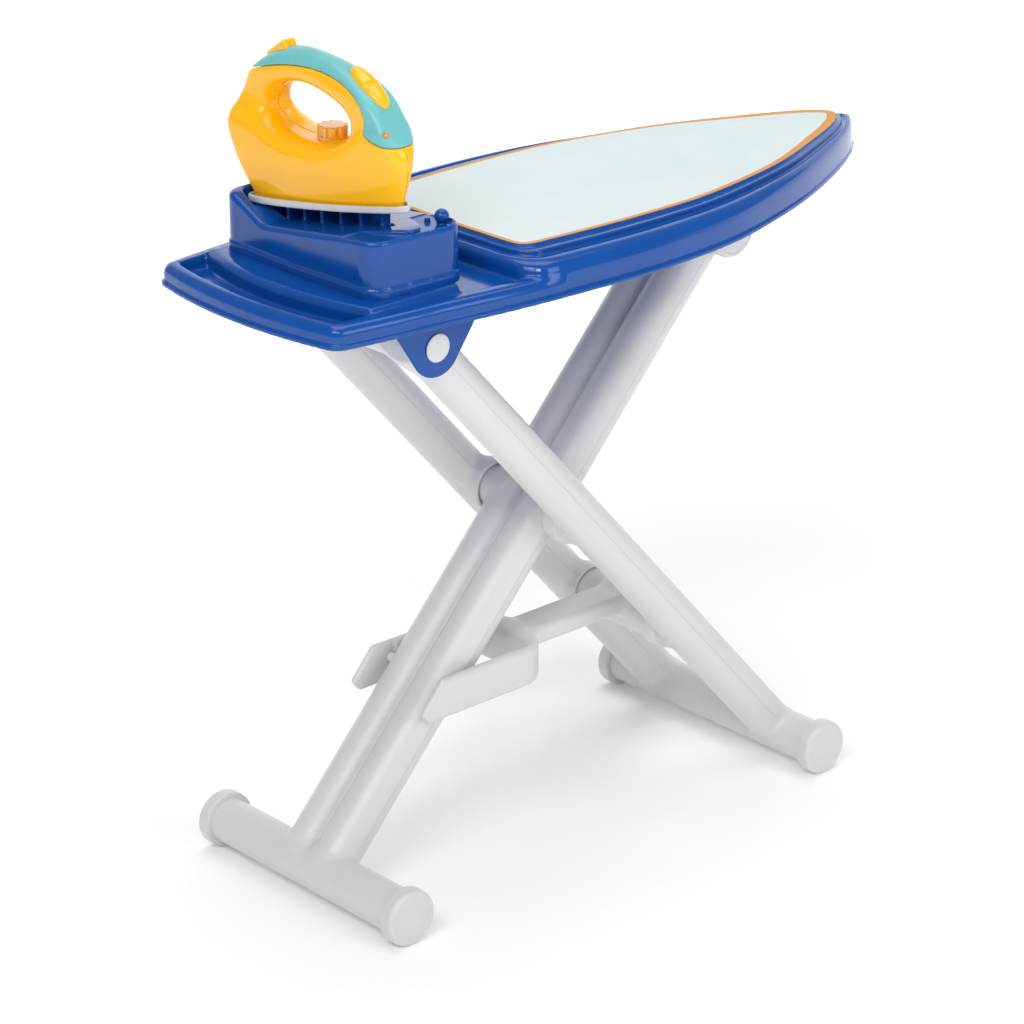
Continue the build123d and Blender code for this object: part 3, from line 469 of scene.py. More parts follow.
# ---- outer leg frame ---------------------------------------------------------------------------
FOOT_OUT_HALF = node_box("outer_foot_tube")[1][1]
FOOT_IN_HALF = node_box("inner_foot_tube")[1][1]
SLIDE_HALF = node_box("slide_bar")[1][1]
TOP_HALF = node_box("top_cross_tube")[1][1]


def outer_frame_shape(x, y, z):
    """Foot tube, two legs, top tube and the sockets on the legs, as one moulding."""
    side = np.abs(y)
    foot = rod(x, y, z, at_y(FOOT_OUT, -FOOT_OUT_HALF), at_y(FOOT_OUT, FOOT_OUT_HALF), TUBE_R)
    top = rod(x, y, z, at_y(TOP, -TOP_HALF), at_y(TOP, TOP_HALF), TUBE_R, 5.0)
    leg = rod(x, side, z, at_y(FOOT_OUT, LEG_Y), at_y(TOP, LEG_Y), LEG_R)
    shape = smooth_max(smooth_min(leg, top, 16.0), side - TOP_HALF, 1.0)
    shape = smooth_min(shape, foot, 4.0)
    for place, face in ((CROSS, HUB_BOSS_Y), (JOURNAL, FORK_BOSS_Y)):
        boss = rod(x, side, z, at_y(place, face), at_y(place, SOCKET_ROOT_Y), BOSS_R, 1.6)
        shape = smooth_min(shape, boss, 9.0)
        socket = rod(x, side, z, at_y(place, face - 20), at_y(place, SOCKET_FLOOR_Y), SOCKET_R, 0.5)
        shape = smooth_max(shape, -socket, 1.6)
    return shape


def along_leg(verts, start, end):
    """Signed distance of points from the plane that holds a leg's axis and the Y direction."""
    direction = (end - start) / np.linalg.norm(end - start)
    normal = np.array([-direction[2], 0.0, direction[0]])
    return (verts - start) @ normal


def frame_piece(name, shape, start, end, low, high, step, body, nodes):
    """A leg frame with its moulding line along the legs' sides."""
    verts, quads = surface_mesh(shape, low, high, step)
    piece = new_piece(name, verts, quads, WHITE_LEG, body, nodes)
    seam = along_leg(verts, start, end)
    near_ends = np.minimum(np.linalg.norm((verts - start)[:, [0, 2]], axis=1),
                           np.linalg.norm((verts - end)[:, [0, 2]], axis=1))
    seam = np.where(near_ends < 26.0, 5.0, seam)
    point_attribute(piece, "seam", seam)
    return piece


LEG_STEP = 1.7
frame_piece("outer_frame_moulding", outer_frame_shape, FOOT_OUT, TOP,
            (TOP[0] - 22, -FOOT_OUT_HALF - 4, 0.0), (FOOT_OUT[0] + 22, FOOT_OUT_HALF + 4, TOP[2] + 22),
            LEG_STEP, "outer_frame",
            ("outer_leg_near", "outer_leg_far", "top_cross_tube", "outer_foot_tube", "hub_socket_near",
             "hub_socket_far", "journal_socket_near", "journal_socket_far"))


# ---- inner leg frame ---------------------------------------------------------------------------
def inner_frame_shape(x, y, z):
    """Foot tube, double column, hub and slide bar as one moulding."""
    foot = rod(x, y, z, at_y(FOOT_IN, -FOOT_IN_HALF), at_y(FOOT_IN, FOOT_IN_HALF), TUBE_R)
    bar = rod(x, y, z, at_y(SLIDE, -SLIDE_HALF), at_y(SLIDE, SLIDE_HALF), TUBE_R)
    near = rod(x, y, z, at_y(FOOT_IN, -COLUMN_Y), at_y(SLIDE, -COLUMN_Y), LEG_R)
    far = rod(x, y, z, at_y(FOOT_IN, COLUMN_Y), at_y(SLIDE, COLUMN_Y), LEG_R)
    column = smooth_min(near, far, 1.0)
    side = np.abs(y)
    hub = rod(x, side, z, at_y(CROSS, COLUMN_Y), at_y(CROSS, JOURNAL_HALF), HUB_R, 1.0)
    column = smooth_min(column, hub, 6.0)
    return smooth_min(smooth_min(column, foot, 5.0), bar, 5.0)


frame_piece("inner_frame_moulding", inner_frame_shape, FOOT_IN, SLIDE,
            (FOOT_IN[0] - 22, -FOOT_IN_HALF - 4, 0.0), (SLIDE[0] + 22, FOOT_IN_HALF + 4, SLIDE[2] + 22),
            LEG_STEP, "inner_frame",
            ("inner_column", "inner_foot_tube", "slide_bar", "cross_hub_near", "cross_hub_far"))


# ---- turned pieces -----------------------------------------------------------------------------
def lathe(name, profile, place, flip, material, body, nodes, segments):
    """A turned piece; place(across, up, out) puts a profile's (radius, out) points round its axis."""
    verts, faces = [], []
    for radius, out in profile:
        for k in range(segments):
            angle = 2 * math.pi * k / segments
            verts.append(place(radius * math.cos(angle), radius * math.sin(angle), out))
    for ring in range(len(profile) - 1):
        low, high = ring * segments, (ring + 1) * segments
        for k in range(segments):
            after = (k + 1) % segments
            faces.append([low + k, low + after, high + after, high + k])
    faces.append(list(range(segments))[::-1])
    faces.append([(len(profile) - 1) * segments + k for k in range(segments)])
    if flip:
        faces = [face[::-1] for face in faces]
    return new_piece(name, verts, faces, material, body, nodes)


def turned(name, profile, x, z, side, body, nodes):
    """A white piece turned about an axis along Y; profile is (radius, distance out along Y)."""
    lathe(name, profile, lambda across, up, out: (x + across, side * out, z + up), side > 0, WHITE, body,
          nodes, 96)


def turned_up(name, profile, x, y, nodes):
    """A blue piece turned about an upright axis; profile is (radius, height) from foot to top."""
    lathe(name, profile, lambda across, along, height: (x + across, y + along, height), False, BLUE, "board",
          nodes, 64)


def arc_profile(radius_in, out, radius, steps=6):
    """Profile points of a quarter round from the rim to the face."""
    points = []
    for k in range(steps + 1):
        angle = math.pi / 2 * k / steps
        points.append((radius_in + radius * math.cos(angle), out + radius * math.sin(angle)))
    return points


def cap_profile(outer, inner, length):
    """A pressed-on cap: short collar, rounded edge, slightly sunk and crowned face."""
    edge = 3.6
    flat = outer - edge
    profile = [(inner, 0.0), (outer - 1.0, 0.0), (outer - 0.2, 0.3), (outer, 1.2)]
    profile.append((outer, length - edge - 1.0))
    profile += arc_profile(flat, length - edge - 0.35, edge)
    profile += [(flat - 0.6, length - 0.38), (flat - 1.0, length - 0.6), (flat - 1.6, length - 0.42)]
    return profile + [(outer * 0.6, length - 0.12), (outer * 0.3, length - 0.02), (0.4, length)]


def end_caps():
    """The six round caps: two on each foot and two on the slide bar."""
    for name, body in (("outer_foot_cap", "outer_frame"), ("inner_foot_cap", "inner_frame"),
                       ("slide_cap", "inner_frame")):
        for word, side in SIDES:
            node = name + "_" + word
            low, high = node_box(node)
            middle = (low + high) / 2
            radius = (high[2] - low[2]) / 2
            start = min(abs(low[1]), abs(high[1]))
            length = high[1] - low[1]
            profile = [(r, start + out) for r, out in cap_profile(radius, TUBE_R - 1.5, length)]
            turned(node + "_piece", profile, middle[0], middle[2], side, body, (node,))


end_caps()


def pivot_pins():
    """Headed pins at the board's pivot."""
    for word, side in SIDES:
        node = "pivot_pin_" + word
        low, high = node_box(node)
        middle = (low + high) / 2
        radius = (high[2] - low[2]) / 2
        ends = sorted((abs(low[1]), abs(high[1])))
        head = ends[1] - 1.6
        profile = [(5.0, ends[0]), (5.0, head), (radius - 0.6, head), (radius, head + 0.4)]
        profile += [(radius, head + 0.7), (radius - 0.3, head + 1.2), (radius - 1.1, head + 1.5),
                    (radius * 0.5, head + 1.58), (0.3, head + 1.6)]
        turned(node + "_piece", profile, middle[0], middle[2], side, "outer_frame", (node,))


pivot_pins()


# ---- locking fork ------------------------------------------------------------------------------
FORK_LOW, FORK_HIGH = node_box("locking_fork")
FORK_OUTER_Y = FORK_HIGH[1]
FORK_INNER_Y = 37.4
POCKET_Y = 39.4
ARM_HALF = 17.0
WEB_OUTER_X = -50.0
WEB_INNER_X = -68.5
SHOULDER_X = -145.4
ARM_TOP = JOURNAL[2] + HUB_R - 0.2
ARM_BOTTOM = ARM_TOP - 16.0


def round_corner(across, along, radius):
    """Distance to a corner rounded to a radius, from the distances to its two edges."""
    dx, dy = across + radius, along + radius
    outside = np.sqrt(np.maximum(dx, 0) ** 2 + np.maximum(dy, 0) ** 2)
    return outside + np.minimum(np.maximum(dx, dy), 0) - radius


def fork_shape(x, y, z):
    """Journal, arm, rounded web and two prongs."""
    journal = rod(x, y, z, at_y(JOURNAL, -JOURNAL_HALF), at_y(JOURNAL, JOURNAL_HALF), HUB_R, 1.0)
    arm = box_shape(x, y, z, (WEB_OUTER_X - 12, -ARM_HALF, ARM_BOTTOM), (JOURNAL[0], ARM_HALF, ARM_TOP), 5.0)
    side = np.abs(y)
    bow = WEB_OUTER_X - 0.006 * side * side
    outer = round_corner(x - bow, side - FORK_OUTER_Y, 17.0)
    inner = round_corner(x - WEB_INNER_X, side - FORK_INNER_Y, 10.0)
    plan = smooth_max(outer, -inner, 3.0)
    tip, low, high = FORK_LOW[0], FORK_LOW[2], FORK_HIGH[2]
    corners = [(WEB_OUTER_X + 14, ARM_TOP - 1), (WEB_OUTER_X - 14, high - 0.8), (-166.0, high - 0.2),
               (tip, 142.0), (tip + 7, low), (WEB_OUTER_X - 12, low), (WEB_OUTER_X + 2, low + 8),
               (WEB_OUTER_X + 14, ARM_BOTTOM + 1)]
    profile = rounded_corners(corners, [2, 12, 4, 3, 5, 10, 6, 2])
    fork = smooth_max(plan, flat_map(profile)(x, z), 6.0)
    shape = smooth_min(fork, arm, 12.0)
    pocket = smooth_max(x - SHOULDER_X, side - POCKET_Y, 1.0)
    shape = smooth_max(shape, -pocket, 1.2)
    return smooth_min(shape, journal, 9.0)


shape_piece("locking_fork_piece", fork_shape, (FORK_LOW[0] - 3, -52, 126), (JOURNAL[0] + 22, 52, 171),
            1.6, WHITE, "fork", "white_plastic", ("locking_fork", "fork_journal"))


# ---- board -------------------------------------------------------------------------------------
SHELL_LOW, SHELL_HIGH = node_box("board_shell")
NOSE_X = SHELL_HIGH[0]
HEEL_X = SHELL_LOW[0]
LIP_BOTTOM = SHELL_LOW[2]
DECK_TOP = SHELL_HIGH[2]
LIP_TOP = LIP_BOTTOM + 3.6
LIP_OVERHANG = 1.9
RIM_TOP = LIP_BOTTOM + 16.9
CREST = DECK_TOP - 3.7
COVE_FLOOR = DECK_TOP - 6.2
LEDGE_TOP = DECK_TOP - 1.7
TRAY_FLOOR = LIP_BOTTOM + 13.9
TROUGH_FLOOR = LIP_BOTTOM + 6.9
STEP_TOP = node_box("iron_rest")[0][2]
WALL = 3.0
TRAY_INSET = 17.0        # from the lip's edge
TROUGH_INSET = 13.0
TROUGH_HALF = 92.0
TRAY_HEEL_X = -300.0
TROUGH_END_X = -268.0
RAMP_END_X = -190.0
HEEL_HOLLOW_END_X = -138.0
LOW_END_X = -112.0
HEEL_SIDE = [(-314.5, 104.0), (-262.0, 111.5), (-220.0, 115.5), (-176.0, 121.3)]
LIP_SIDE = [(-130.0, 125.6), (-42.0, 129.4), (16.0, 127.0), (75.0, 118.8), (138.0, 100.4), (193.0, 79.8),
            (252.0, 51.6), (294.0, 27.5), (314.0, 13.5)]
DECK_SIDE = [(-118.0, 91.0), (-42.0, 95.3), (16.0, 96.2), (60.0, 94.2), (118.0, 84.2), (176.0, 69.0),
             (236.0, 44.5), (272.0, 28.0), (293.0, 14.5)]
UPPER_HEEL_X = -146.0


def clear_of(points, corners, reach):
    """The points that lie further than a reach from every corner."""
    return [p for p in points if all(np.hypot(*(p - corner)) > reach for corner in corners)]


def plan_outline(side, nose_x, heel_bulge, corner_r):
    """Closed outline from one side's points: smooth round the nose, a convex heel, rounded corners."""
    across = [(x, -y) for x, y in reversed(side)]
    curve = curve_points(list(side) + [(nose_x, 0.0)] + across, per_span=8)
    x0, half = side[0]
    reach = corner_r * 1.25
    first, last = curve[0], curve[-1]
    kept = clear_of(curve, (first, last), reach)
    shares = np.linspace(-1, 1, 15)[1:-1]
    heel = [np.array([x0 - heel_bulge * (1 - share * share), share * half]) for share in shares]
    heel = clear_of(heel, (first, last), reach)
    points = [first] + kept + [last] + heel
    radii = [corner_r] + [0] * len(kept) + [corner_r] + [0] * len(heel)
    return rounded_corners(points, radii)


def ring_outline(step):
    """Outline of the raised part, from the lip (0) to the deck's edge (1)."""
    side = [(a + (c - a) * step, b + (d - b) * step) for (a, b), (c, d) in zip(LIP_SIDE, DECK_SIDE)]
    heel = UPPER_HEEL_X + 20.5 * step
    side[0] = (heel + 2.0, side[0][1] - 1.5)
    return plan_outline(side, NOSE_X - 24.0 * step, 2.5, 30.0 - 16.0 * step)


WHOLE = flat_map(plan_outline(HEEL_SIDE + LIP_SIDE, NOSE_X, 12.5, 14.0))
LIP_RING = flat_map(ring_outline(0.0))
DECK_RING = flat_map(ring_outline(1.0))
STEP_HEEL = [(-293.0 + 18.0 * t * t, -96.0 * t) for t in np.linspace(-1, 1, 33)]
STEP_PLAN = flat_map(np.array([(-106.0, 96.0)] + STEP_HEEL + [(-106.0, -96.0)]))


def skirt_level(z):
    """How far in from the lip the skirt's surface is at a height, as a share of the way to the deck."""
    return np.interp(z, [LIP_BOTTOM, 500.0, 505.0, 508.5, 511.5, 513.8, 515.2, CREST],
                     [0.055, 0.07, 0.083, 0.105, 0.145, 0.2, 0.27, 0.36])


def board_shape(x, y, z):
    """The moulded board: lip, low tray with its rim, step, and the raised part with crest and deck."""
    whole = WHOLE(x, y)
    outer, inner = LIP_RING(x, y), DECK_RING(x, y)
    width = np.maximum(inner - outer, 6.0)
    level = -outer / width
    step = STEP_PLAN(x, y)

    low = smooth_max(smooth_max(whole + LIP_OVERHANG, z - RIM_TOP, 9.0), x - LOW_END_X, 1.0)
    tray = smooth_max(smooth_max(whole + TRAY_INSET, TRAY_FLOOR - z, 3.0), TRAY_HEEL_X - x, 3.0)
    low = smooth_max(low, -tray, 3.5)
    trough = smooth_max(smooth_max(whole + TROUGH_INSET, TROUGH_FLOOR - z, 4.0),
                        smooth_max(x - TROUGH_END_X, np.abs(y) - TROUGH_HALF, 6.0), 6.0)
    low = smooth_max(low, -trough, 3.0)
    ramp = smooth_max(smooth_max(step, z - STEP_TOP, 8.0), x - RAMP_END_X, 2.0)
    low = smooth_min(low, ramp, 2.5)

    skirt = smooth_max((skirt_level(z) - level) * width * 0.8, z - CREST, 4.0)
    cove = smooth_max(smooth_max((0.5 - level) * width, (level - 0.74) * width, 2.0), COVE_FLOOR - z, 2.5)
    raised = smooth_max(skirt, -cove, 2.6)
    ledge = smooth_max((0.74 - level) * width, z - LEDGE_TOP, 1.6)
    deck = smooth_max((0.985 - level) * width, z - DECK_TOP, 1.2)
    raised = smooth_min(smooth_min(raised, ledge, 1.2), deck, 0.8)
    board = smooth_min(low, raised, 3.0)
    lip = smooth_max(whole, z - LIP_TOP, 1.4)
    board = smooth_min(board, lip, 1.6)

    hollow = np.maximum((0.085 - level) * width + 3.2, z - 507.0)
    hollow = smooth_min(hollow, np.maximum((0.5 - level) * width, z - 509.5), 3.0)
    hollow = smooth_min(hollow, smooth_max((0.93 - level) * width, z - DECK_TOP + WALL, 2.0), 3.0)
    heel_hollow = np.maximum(smooth_max(whole + 5.5, z - TROUGH_FLOOR + WALL, 2.0), x - HEEL_HOLLOW_END_X)
    step_hollow = np.maximum(smooth_max(step + 4.0, z - TRAY_FLOOR + WALL, 2.0), x - HEEL_HOLLOW_END_X)
    hollow = smooth_min(smooth_min(hollow, heel_hollow, 2.0), step_hollow, 2.0)
    board = smooth_max(board, -hollow, 1.0)
    return smooth_max(board, LIP_BOTTOM - z, 0.8)


shape_piece("board_moulding", board_shape, (HEEL_X - 3, SHELL_LOW[1] - 3, LIP_BOTTOM - 1.6),
            (NOSE_X + 3, SHELL_HIGH[1] + 3, DECK_TOP + 1.6), ((1.5, 1.5, 0.8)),
            BLUE, "board", "blue_plastic", ("board_shell",))


def cover():
    """The printed sheet on the deck, with its border marked by the distance from the edge."""
    low, high = node_box("cover_sheet")
    middle, half = (low[2] + high[2]) / 2, (high[2] - low[2]) / 2

    def sheet(x, y, z):
        return smooth_max(DECK_RING(x, y) + 0.2, np.abs(z - middle) - half, 0.5)

    margin = np.array([2.0, 2.0, 0.5])
    verts, quads = surface_mesh(sheet, low - margin, high + margin,
                                ((2.0, 2.0, 0.3)))
    piece = new_piece("cover_sheet_piece", verts, quads, COVER, "board", ("cover_sheet",))
    inside = -DECK_RING(verts[:, 0], verts[:, 1])
    border = 5.0 + 3.4 * step_up(verts[:, 0], 120.0, 290.0)
    point_attribute(piece, "border", inside / border)
    point_attribute(piece, "inside", inside)


def cover_material():
    """Pale printed sheet with a faint woven pattern, a thin warm border and a darker edge."""
    material = plastic("cover_print", srgb(203, 216, 218), 0.5, grain=0.02, mottle=0.012)
    tree = material.node_tree
    shader = tree.nodes["Principled BSDF"]
    place = tree.nodes.new("ShaderNodeTexCoord")
    weave = 0.5
    for direction in ("X", "Y"):
        wave = add_node(tree, "ShaderNodeTexWave", {
            "Vector": place.outputs["Object"], "Scale": 110.0, "Distortion": 0.3})
        wave.bands_direction = direction
        product = add_node(tree, "ShaderNodeMath", {0: wave.outputs["Fac"], 1: weave})
        product.operation = "MULTIPLY"
        weave = product.outputs[0]
    base = shader.inputs["Base Color"].links[0].from_socket
    colour = mix_colour(tree, weave, base, srgb(190, 206, 211))
    for name, high, tone in (("border", 1.06, srgb(206, 138, 4)), ("inside", 1.25, srgb(70, 96, 150))):
        source = tree.nodes.new("ShaderNodeAttribute")
        source.attribute_name = name
        edge = map_range(tree, source.outputs["Fac"], 1.0, high, 1.0, 0.0)
        colour = mix_colour(tree, edge, colour, tone)
    tree.links.new(colour, shader.inputs["Base Color"])
    return material


COVER = cover_material()
cover()


EAR_ROUND_R = 23.2
EAR_BORE_R = 5.1


def ear_pieces():
    """The two ears under the tray, with softly rounded edges and a hole for the pin."""
    px, pz = TOP[0], TOP[2]
    round_part = []
    for k in range(25):
        angle = math.radians(-30.0 - 5.0 * k)
        round_part.append((px + EAR_ROUND_R * math.cos(angle), pz + EAR_ROUND_R * math.sin(angle)))
    for word, _ in SIDES:
        node = "pivot_ear_" + word
        low, high = node_box(node)
        middle = (low[1] + high[1]) / 2
        half = (high[1] - low[1]) / 2
        corners = [(low[0], high[2] + 2), (high[0], high[2] + 2), (high[0] - 1.5, 473.0)] + round_part
        corners.append((low[0] + 1.5, 476.0))
        profile = flat_map(rounded_corners(corners, [1, 1, 6] + [0] * len(round_part) + [6]))

        def ear(x, y, z, middle=middle, half=half, top=high[2], profile=profile):
            plate = smooth_max(profile(x, z), np.abs(y - middle) - half, 1.2)
            bore = np.sqrt((x - px) ** 2 + (z - pz) ** 2) - EAR_BORE_R
            return smooth_max(smooth_max(plate, -bore, 0.5), z - top, 0.5)

        shape_piece(node + "_piece", ear, low - 2, high + 2, 0.9, BLUE, "board",
                    "blue_plastic", (node,))


ear_pieces()


# ---- iron rest ---------------------------------------------------------------------------------
REST_LOW, REST_HIGH = node_box("iron_rest")
IRON_X = node_middle("soleplate")[0]
SOLE_LOW, SOLE_HIGH = node_box("soleplate")
TILT = math.tan(math.radians(7.5))
SOLE_THICKNESS = 5.5
SOLE_CORNER_R = 9.0
SOLE_SIDE = [(80.0, 29.0), (55.0, 31.5), (20.0, 29.6), (-15.0, 24.3), (-45.0, 16.5), (-66.0, 8.0)]


def sole_outline():
    """Plan of the iron's sole, as (X, Y)."""
    side = [(half, y) for y, half in SOLE_SIDE]
    front = curve_points(side + [(0.0, -74.0)] + [(-x, y) for x, y in reversed(side)], per_span=8)
    rear = [(29.0 * s, 80.0 + 1.5 * (1 - s * s)) for s in (-0.5, 0.0, 0.5)]
    first, last = front[0], front[-1]
    kept = clear_of(front, (first, last), 10)
    points = [first] + kept + [last] + [np.array(p) for p in rear]
    points = rounded_corners(points, [SOLE_CORNER_R] + [0] * len(kept) + [SOLE_CORNER_R] + [0] * len(rear))
    return points + np.array([IRON_X, 0.0])


SOLE = flat_map(sole_outline())
REST_PLAN = flat_map(rounded_corners([(-264.0, 89.0), (-177.5, 95.0), (-177.5, -90.0), (-264.0, -84.0),
                                      (-265.5, 0.0)], [16, 16, 16, 16, 0]))


def sole_plane(y):
    """Height of the sole's underside along the iron."""
    return SOLE_LOW[2] + (80.0 - y) * TILT


TOP_Y = np.linspace(-110, 120, 461)
TOP_Z = np.interp(TOP_Y, [-110.0, -72.0, 41.0, 77.0, 120.0], [552.0, 552.0, 536.8, 553.0, 553.0])
KERNEL = np.exp(-0.5 * (np.arange(-24, 25) / 7.0) ** 2)
TOP_Z = np.convolve(np.pad(TOP_Z, 24, mode="edge"), KERNEL / KERNEL.sum(), "valid")
LEDGE_FLOOR = 548.0
FLANGE_TOP = 515.5
RIB_PITCH = 17.7
RIB_FIRST_Y = 58.0


def rest_shape(x, y, z):
    """The tower that the iron stands in."""
    plan, sole = REST_PLAN(x, y), SOLE(x, y)
    plane = sole_plane(y)
    tower = smooth_max(plan, z - np.interp(y, TOP_Y, TOP_Z), 5.0)
    flange = smooth_max(plan - 1.3, z - FLANGE_TOP, 1.5)
    tower = smooth_min(tower, flange, 1.2)
    bed = smooth_max(sole - 3.5, plane - 1.2 - z, 1.5)
    tower = smooth_max(tower, -bed, 2.0)
    recess = smooth_max(sole + 11.0, plane - 16.0 - z, 2.0)
    tower = smooth_max(tower, -recess, 2.0)
    from_rib = (RIB_FIRST_Y - y + RIB_PITCH / 2) % RIB_PITCH - RIB_PITCH / 2
    row = smooth_max(y - 64.0, -54.0 - y, 1.0)
    rib = smooth_max(smooth_max(np.abs(from_rib) - 1.3, z - plane + 0.4, 1.0),
                     smooth_max(sole + 10.5, row, 1.0), 1.0)
    tower = smooth_min(tower, smooth_max(rib, plane - 17.0 - z, 0.5), 1.0)
    ledge = smooth_max(smooth_max(plan + 2.8, LEDGE_FLOOR - z, 1.0),
                       smooth_max(6.5 - sole, y + 48.0, 2.0), 2.0)
    tower = smooth_max(tower, -ledge, 1.4)
    return smooth_max(tower, STEP_TOP - 1.0 - z, 0.5)


shape_piece("iron_rest_moulding", rest_shape, (REST_LOW[0] - 4, REST_LOW[1] - 4, STEP_TOP - 3),
            (REST_HIGH[0] + 4, REST_HIGH[1] + 4, REST_HIGH[2] + 3), 1.3,
            BLUE, "board", "blue_plastic", ("iron_rest",))


def knob_and_peg():
    """The ball knob and the small peg on the sunk floor at the rest's near end."""
    ball = 5.6
    foot = LEDGE_FLOOR
    knob = [(4.6, foot - 0.5), (3.9, foot + 0.4), (3.5, foot + 1.6)]
    for k in range(14):
        angle = math.radians(-46.0 + 136.0 * k / 13)
        knob.append((max(ball * math.cos(angle), 0.15), foot + ball + ball * math.sin(angle)))
    peg = [(2.6, foot - 0.5), (2.2, foot + 0.4), (2.2, foot + 2.2), (1.9, foot + 2.9), (1.3, foot + 3.3),
           (0.2, foot + 3.4)]
    for node, profile in (("rest_knob", knob), ("rest_peg", peg)):
        middle = node_middle(node)
        turned_up(node + "_piece", profile, middle[0], middle[1], (node,))


knob_and_peg()


# ---- iron --------------------------------------------------------------------------------------
def sole_plate_shape(x, y, z):
    """The flat of the sole, inside its rim."""
    plane = sole_plane(y)
    return smooth_max(smooth_max(SOLE(x, y) + 2.0, z - plane - 3.1, 0.6), plane + 0.1 - z, 0.6)


def sole_rim_shape(x, y, z):
    """The raised rim round the sole, with the sole's underside."""
    plane = sole_plane(y)
    edge = SOLE(x, y)
    block = smooth_max(smooth_max(edge, z - plane - SOLE_THICKNESS, 1.6), plane - z, 1.2)
    well = smooth_max(edge + 2.2, plane + 1.6 - z, 0.6)
    return smooth_max(block, -well, 1.0)


SOLE_MARGIN = np.array([3.0, 3.0, 2.0])
SOLE_GRID = (SOLE_LOW - SOLE_MARGIN, SOLE_HIGH + SOLE_MARGIN, 0.9)
shape_piece("sole_rim_piece", sole_rim_shape, *SOLE_GRID, SILVER, "iron", "sole_silver", ("soleplate",))
# the sole's flat is the same moulding as the rim; its darker grey is painted shade
shape_piece("sole_well_piece", sole_plate_shape, *SOLE_GRID, SOLE_SHADE_GREY, "iron", "sole_silver", ())


def mirrored(side, ends):
    """Half widths with their heights or places, carried round both ends to the other side."""
    return ends[:1] + side + ends[1:] + [(-x, other) for x, other in reversed(side)]


REAR_Y = node_box("body_left")[1][1] + 4.0
SIDE_OUTLINE = [(80.0, 540.0), (87.0, 554.0), (101.0, 579.0), (REAR_Y, 597.5), (REAR_Y - 2.0, 606.0),
                (98.0, 625.0), (87.0, 643.0), (66.0, 657.5), (41.0, 664.5), (8.0, 662.5), (-24.0, 654.5),
                (-48.0, 640.0), (-66.0, 620.0), (-77.0, 598.0), (-78.0, 578.0), (-74.0, 562.0),
                (-72.0, 540.0)]
SIDE_VIEW = flat_map(curve_points(SIDE_OUTLINE, per_span=8))
HOLE_OUTLINE = [(72.0, 615.0), (62.0, 631.0), (37.0, 639.0), (5.0, 636.5), (-19.0, 627.0), (-24.0, 616.0),
                (-10.0, 605.0), (21.0, 601.0), (55.0, 603.5)]
HOLE = flat_map(curve_points(HOLE_OUTLINE, closed=True, per_span=8))
PLAN_SIDE = [(12.0, -72.0), (20.0, -45.0), (26.5, -12.0), (30.0, 25.0), (30.5, 60.0), (29.5, 90.0),
             (23.0, 112.0)]
PLAN = curve_points(mirrored(PLAN_SIDE, [(0.0, -87.0), (0.0, 121.0)]), closed=True, per_span=8)
PLAN_VIEW = flat_map(PLAN + np.array([IRON_X, 0.0]))
SECTION_SIDE = [(26.5, 540.0), (29.0, 575.0), (26.5, 596.0), (21.0, 614.0), (17.5, 632.0), (15.5, 646.0),
                (12.0, 656.0)]
SECTION_CURVE = curve_points(SECTION_SIDE + [(0.0, 673.0)] + [(-x, z) for x, z in reversed(SECTION_SIDE)],
                             per_span=8)
SECTION = np.concatenate([SECTION_CURVE, [(-26.5, 520.0), (26.5, 520.0)]])
END_VIEW = flat_map(SECTION + np.array([IRON_X, 0.0]))
COVER_LINE = [(100.0, 636.0), (80.0, 643.0), (60.0, 648.5), (38.0, 652.5), (15.0, 654.0), (-6.0, 652.5),
              (-25.0, 647.5), (-38.0, 639.5), (-44.0, 629.0), (-43.0, 619.0)]
COVER_NOSE = [(-43.0, 619.0), (-52.0, 615.0), (-66.0, 612.0), (-90.0, 612.0)]
COVER_ZONE = flat_map(np.concatenate([
    curve_points(COVER_LINE, per_span=8), curve_points(COVER_NOSE, per_span=6),
    [(-90.0, 700.0), (120.0, 700.0), (120.0, 630.0)]]))
SCOOP_DEPTH = 2.6        # of the sides above the crease
FOOT_INSET = 4.6         # of the body inside the sole's edge
SIDE_LEAN = 0.26         # how much wider the body gets per height above its foot
REAR_LEAN = 0.4          # and how much more than that at the rear
CREASE_Y = [-60.0, -33.0, -13.0, 7.0, 40.0, 72.0, 92.0, 120.0]
CREASE_Z = [625.0, 608.6, 601.0, 596.0, 594.6, 600.0, 604.7, 612.0]


def local_button(place, lean, shape):
    """A shape given in a leaning frame: along the iron, across it, and out of its surface."""
    cos, sin = math.cos(lean), math.sin(lean)

    def button(x, y, z):
        dy, dz = y - place[0], z - place[1]
        return shape(dy * cos + dz * sin, x - IRON_X, dz * cos - dy * sin)
    return button


def pocket_local(along, across, out):
    """Room in the body for the thumb button and its travel."""
    return box_shape(along, across, out, (-13.8, -7.3, -8.5), (13.8, 7.3, 20.0), 3.8)


THUMB_AT = ((66.0, 655.0), math.radians(-30.0))
THUMB_POCKET = local_button(*THUMB_AT, pocket_local)


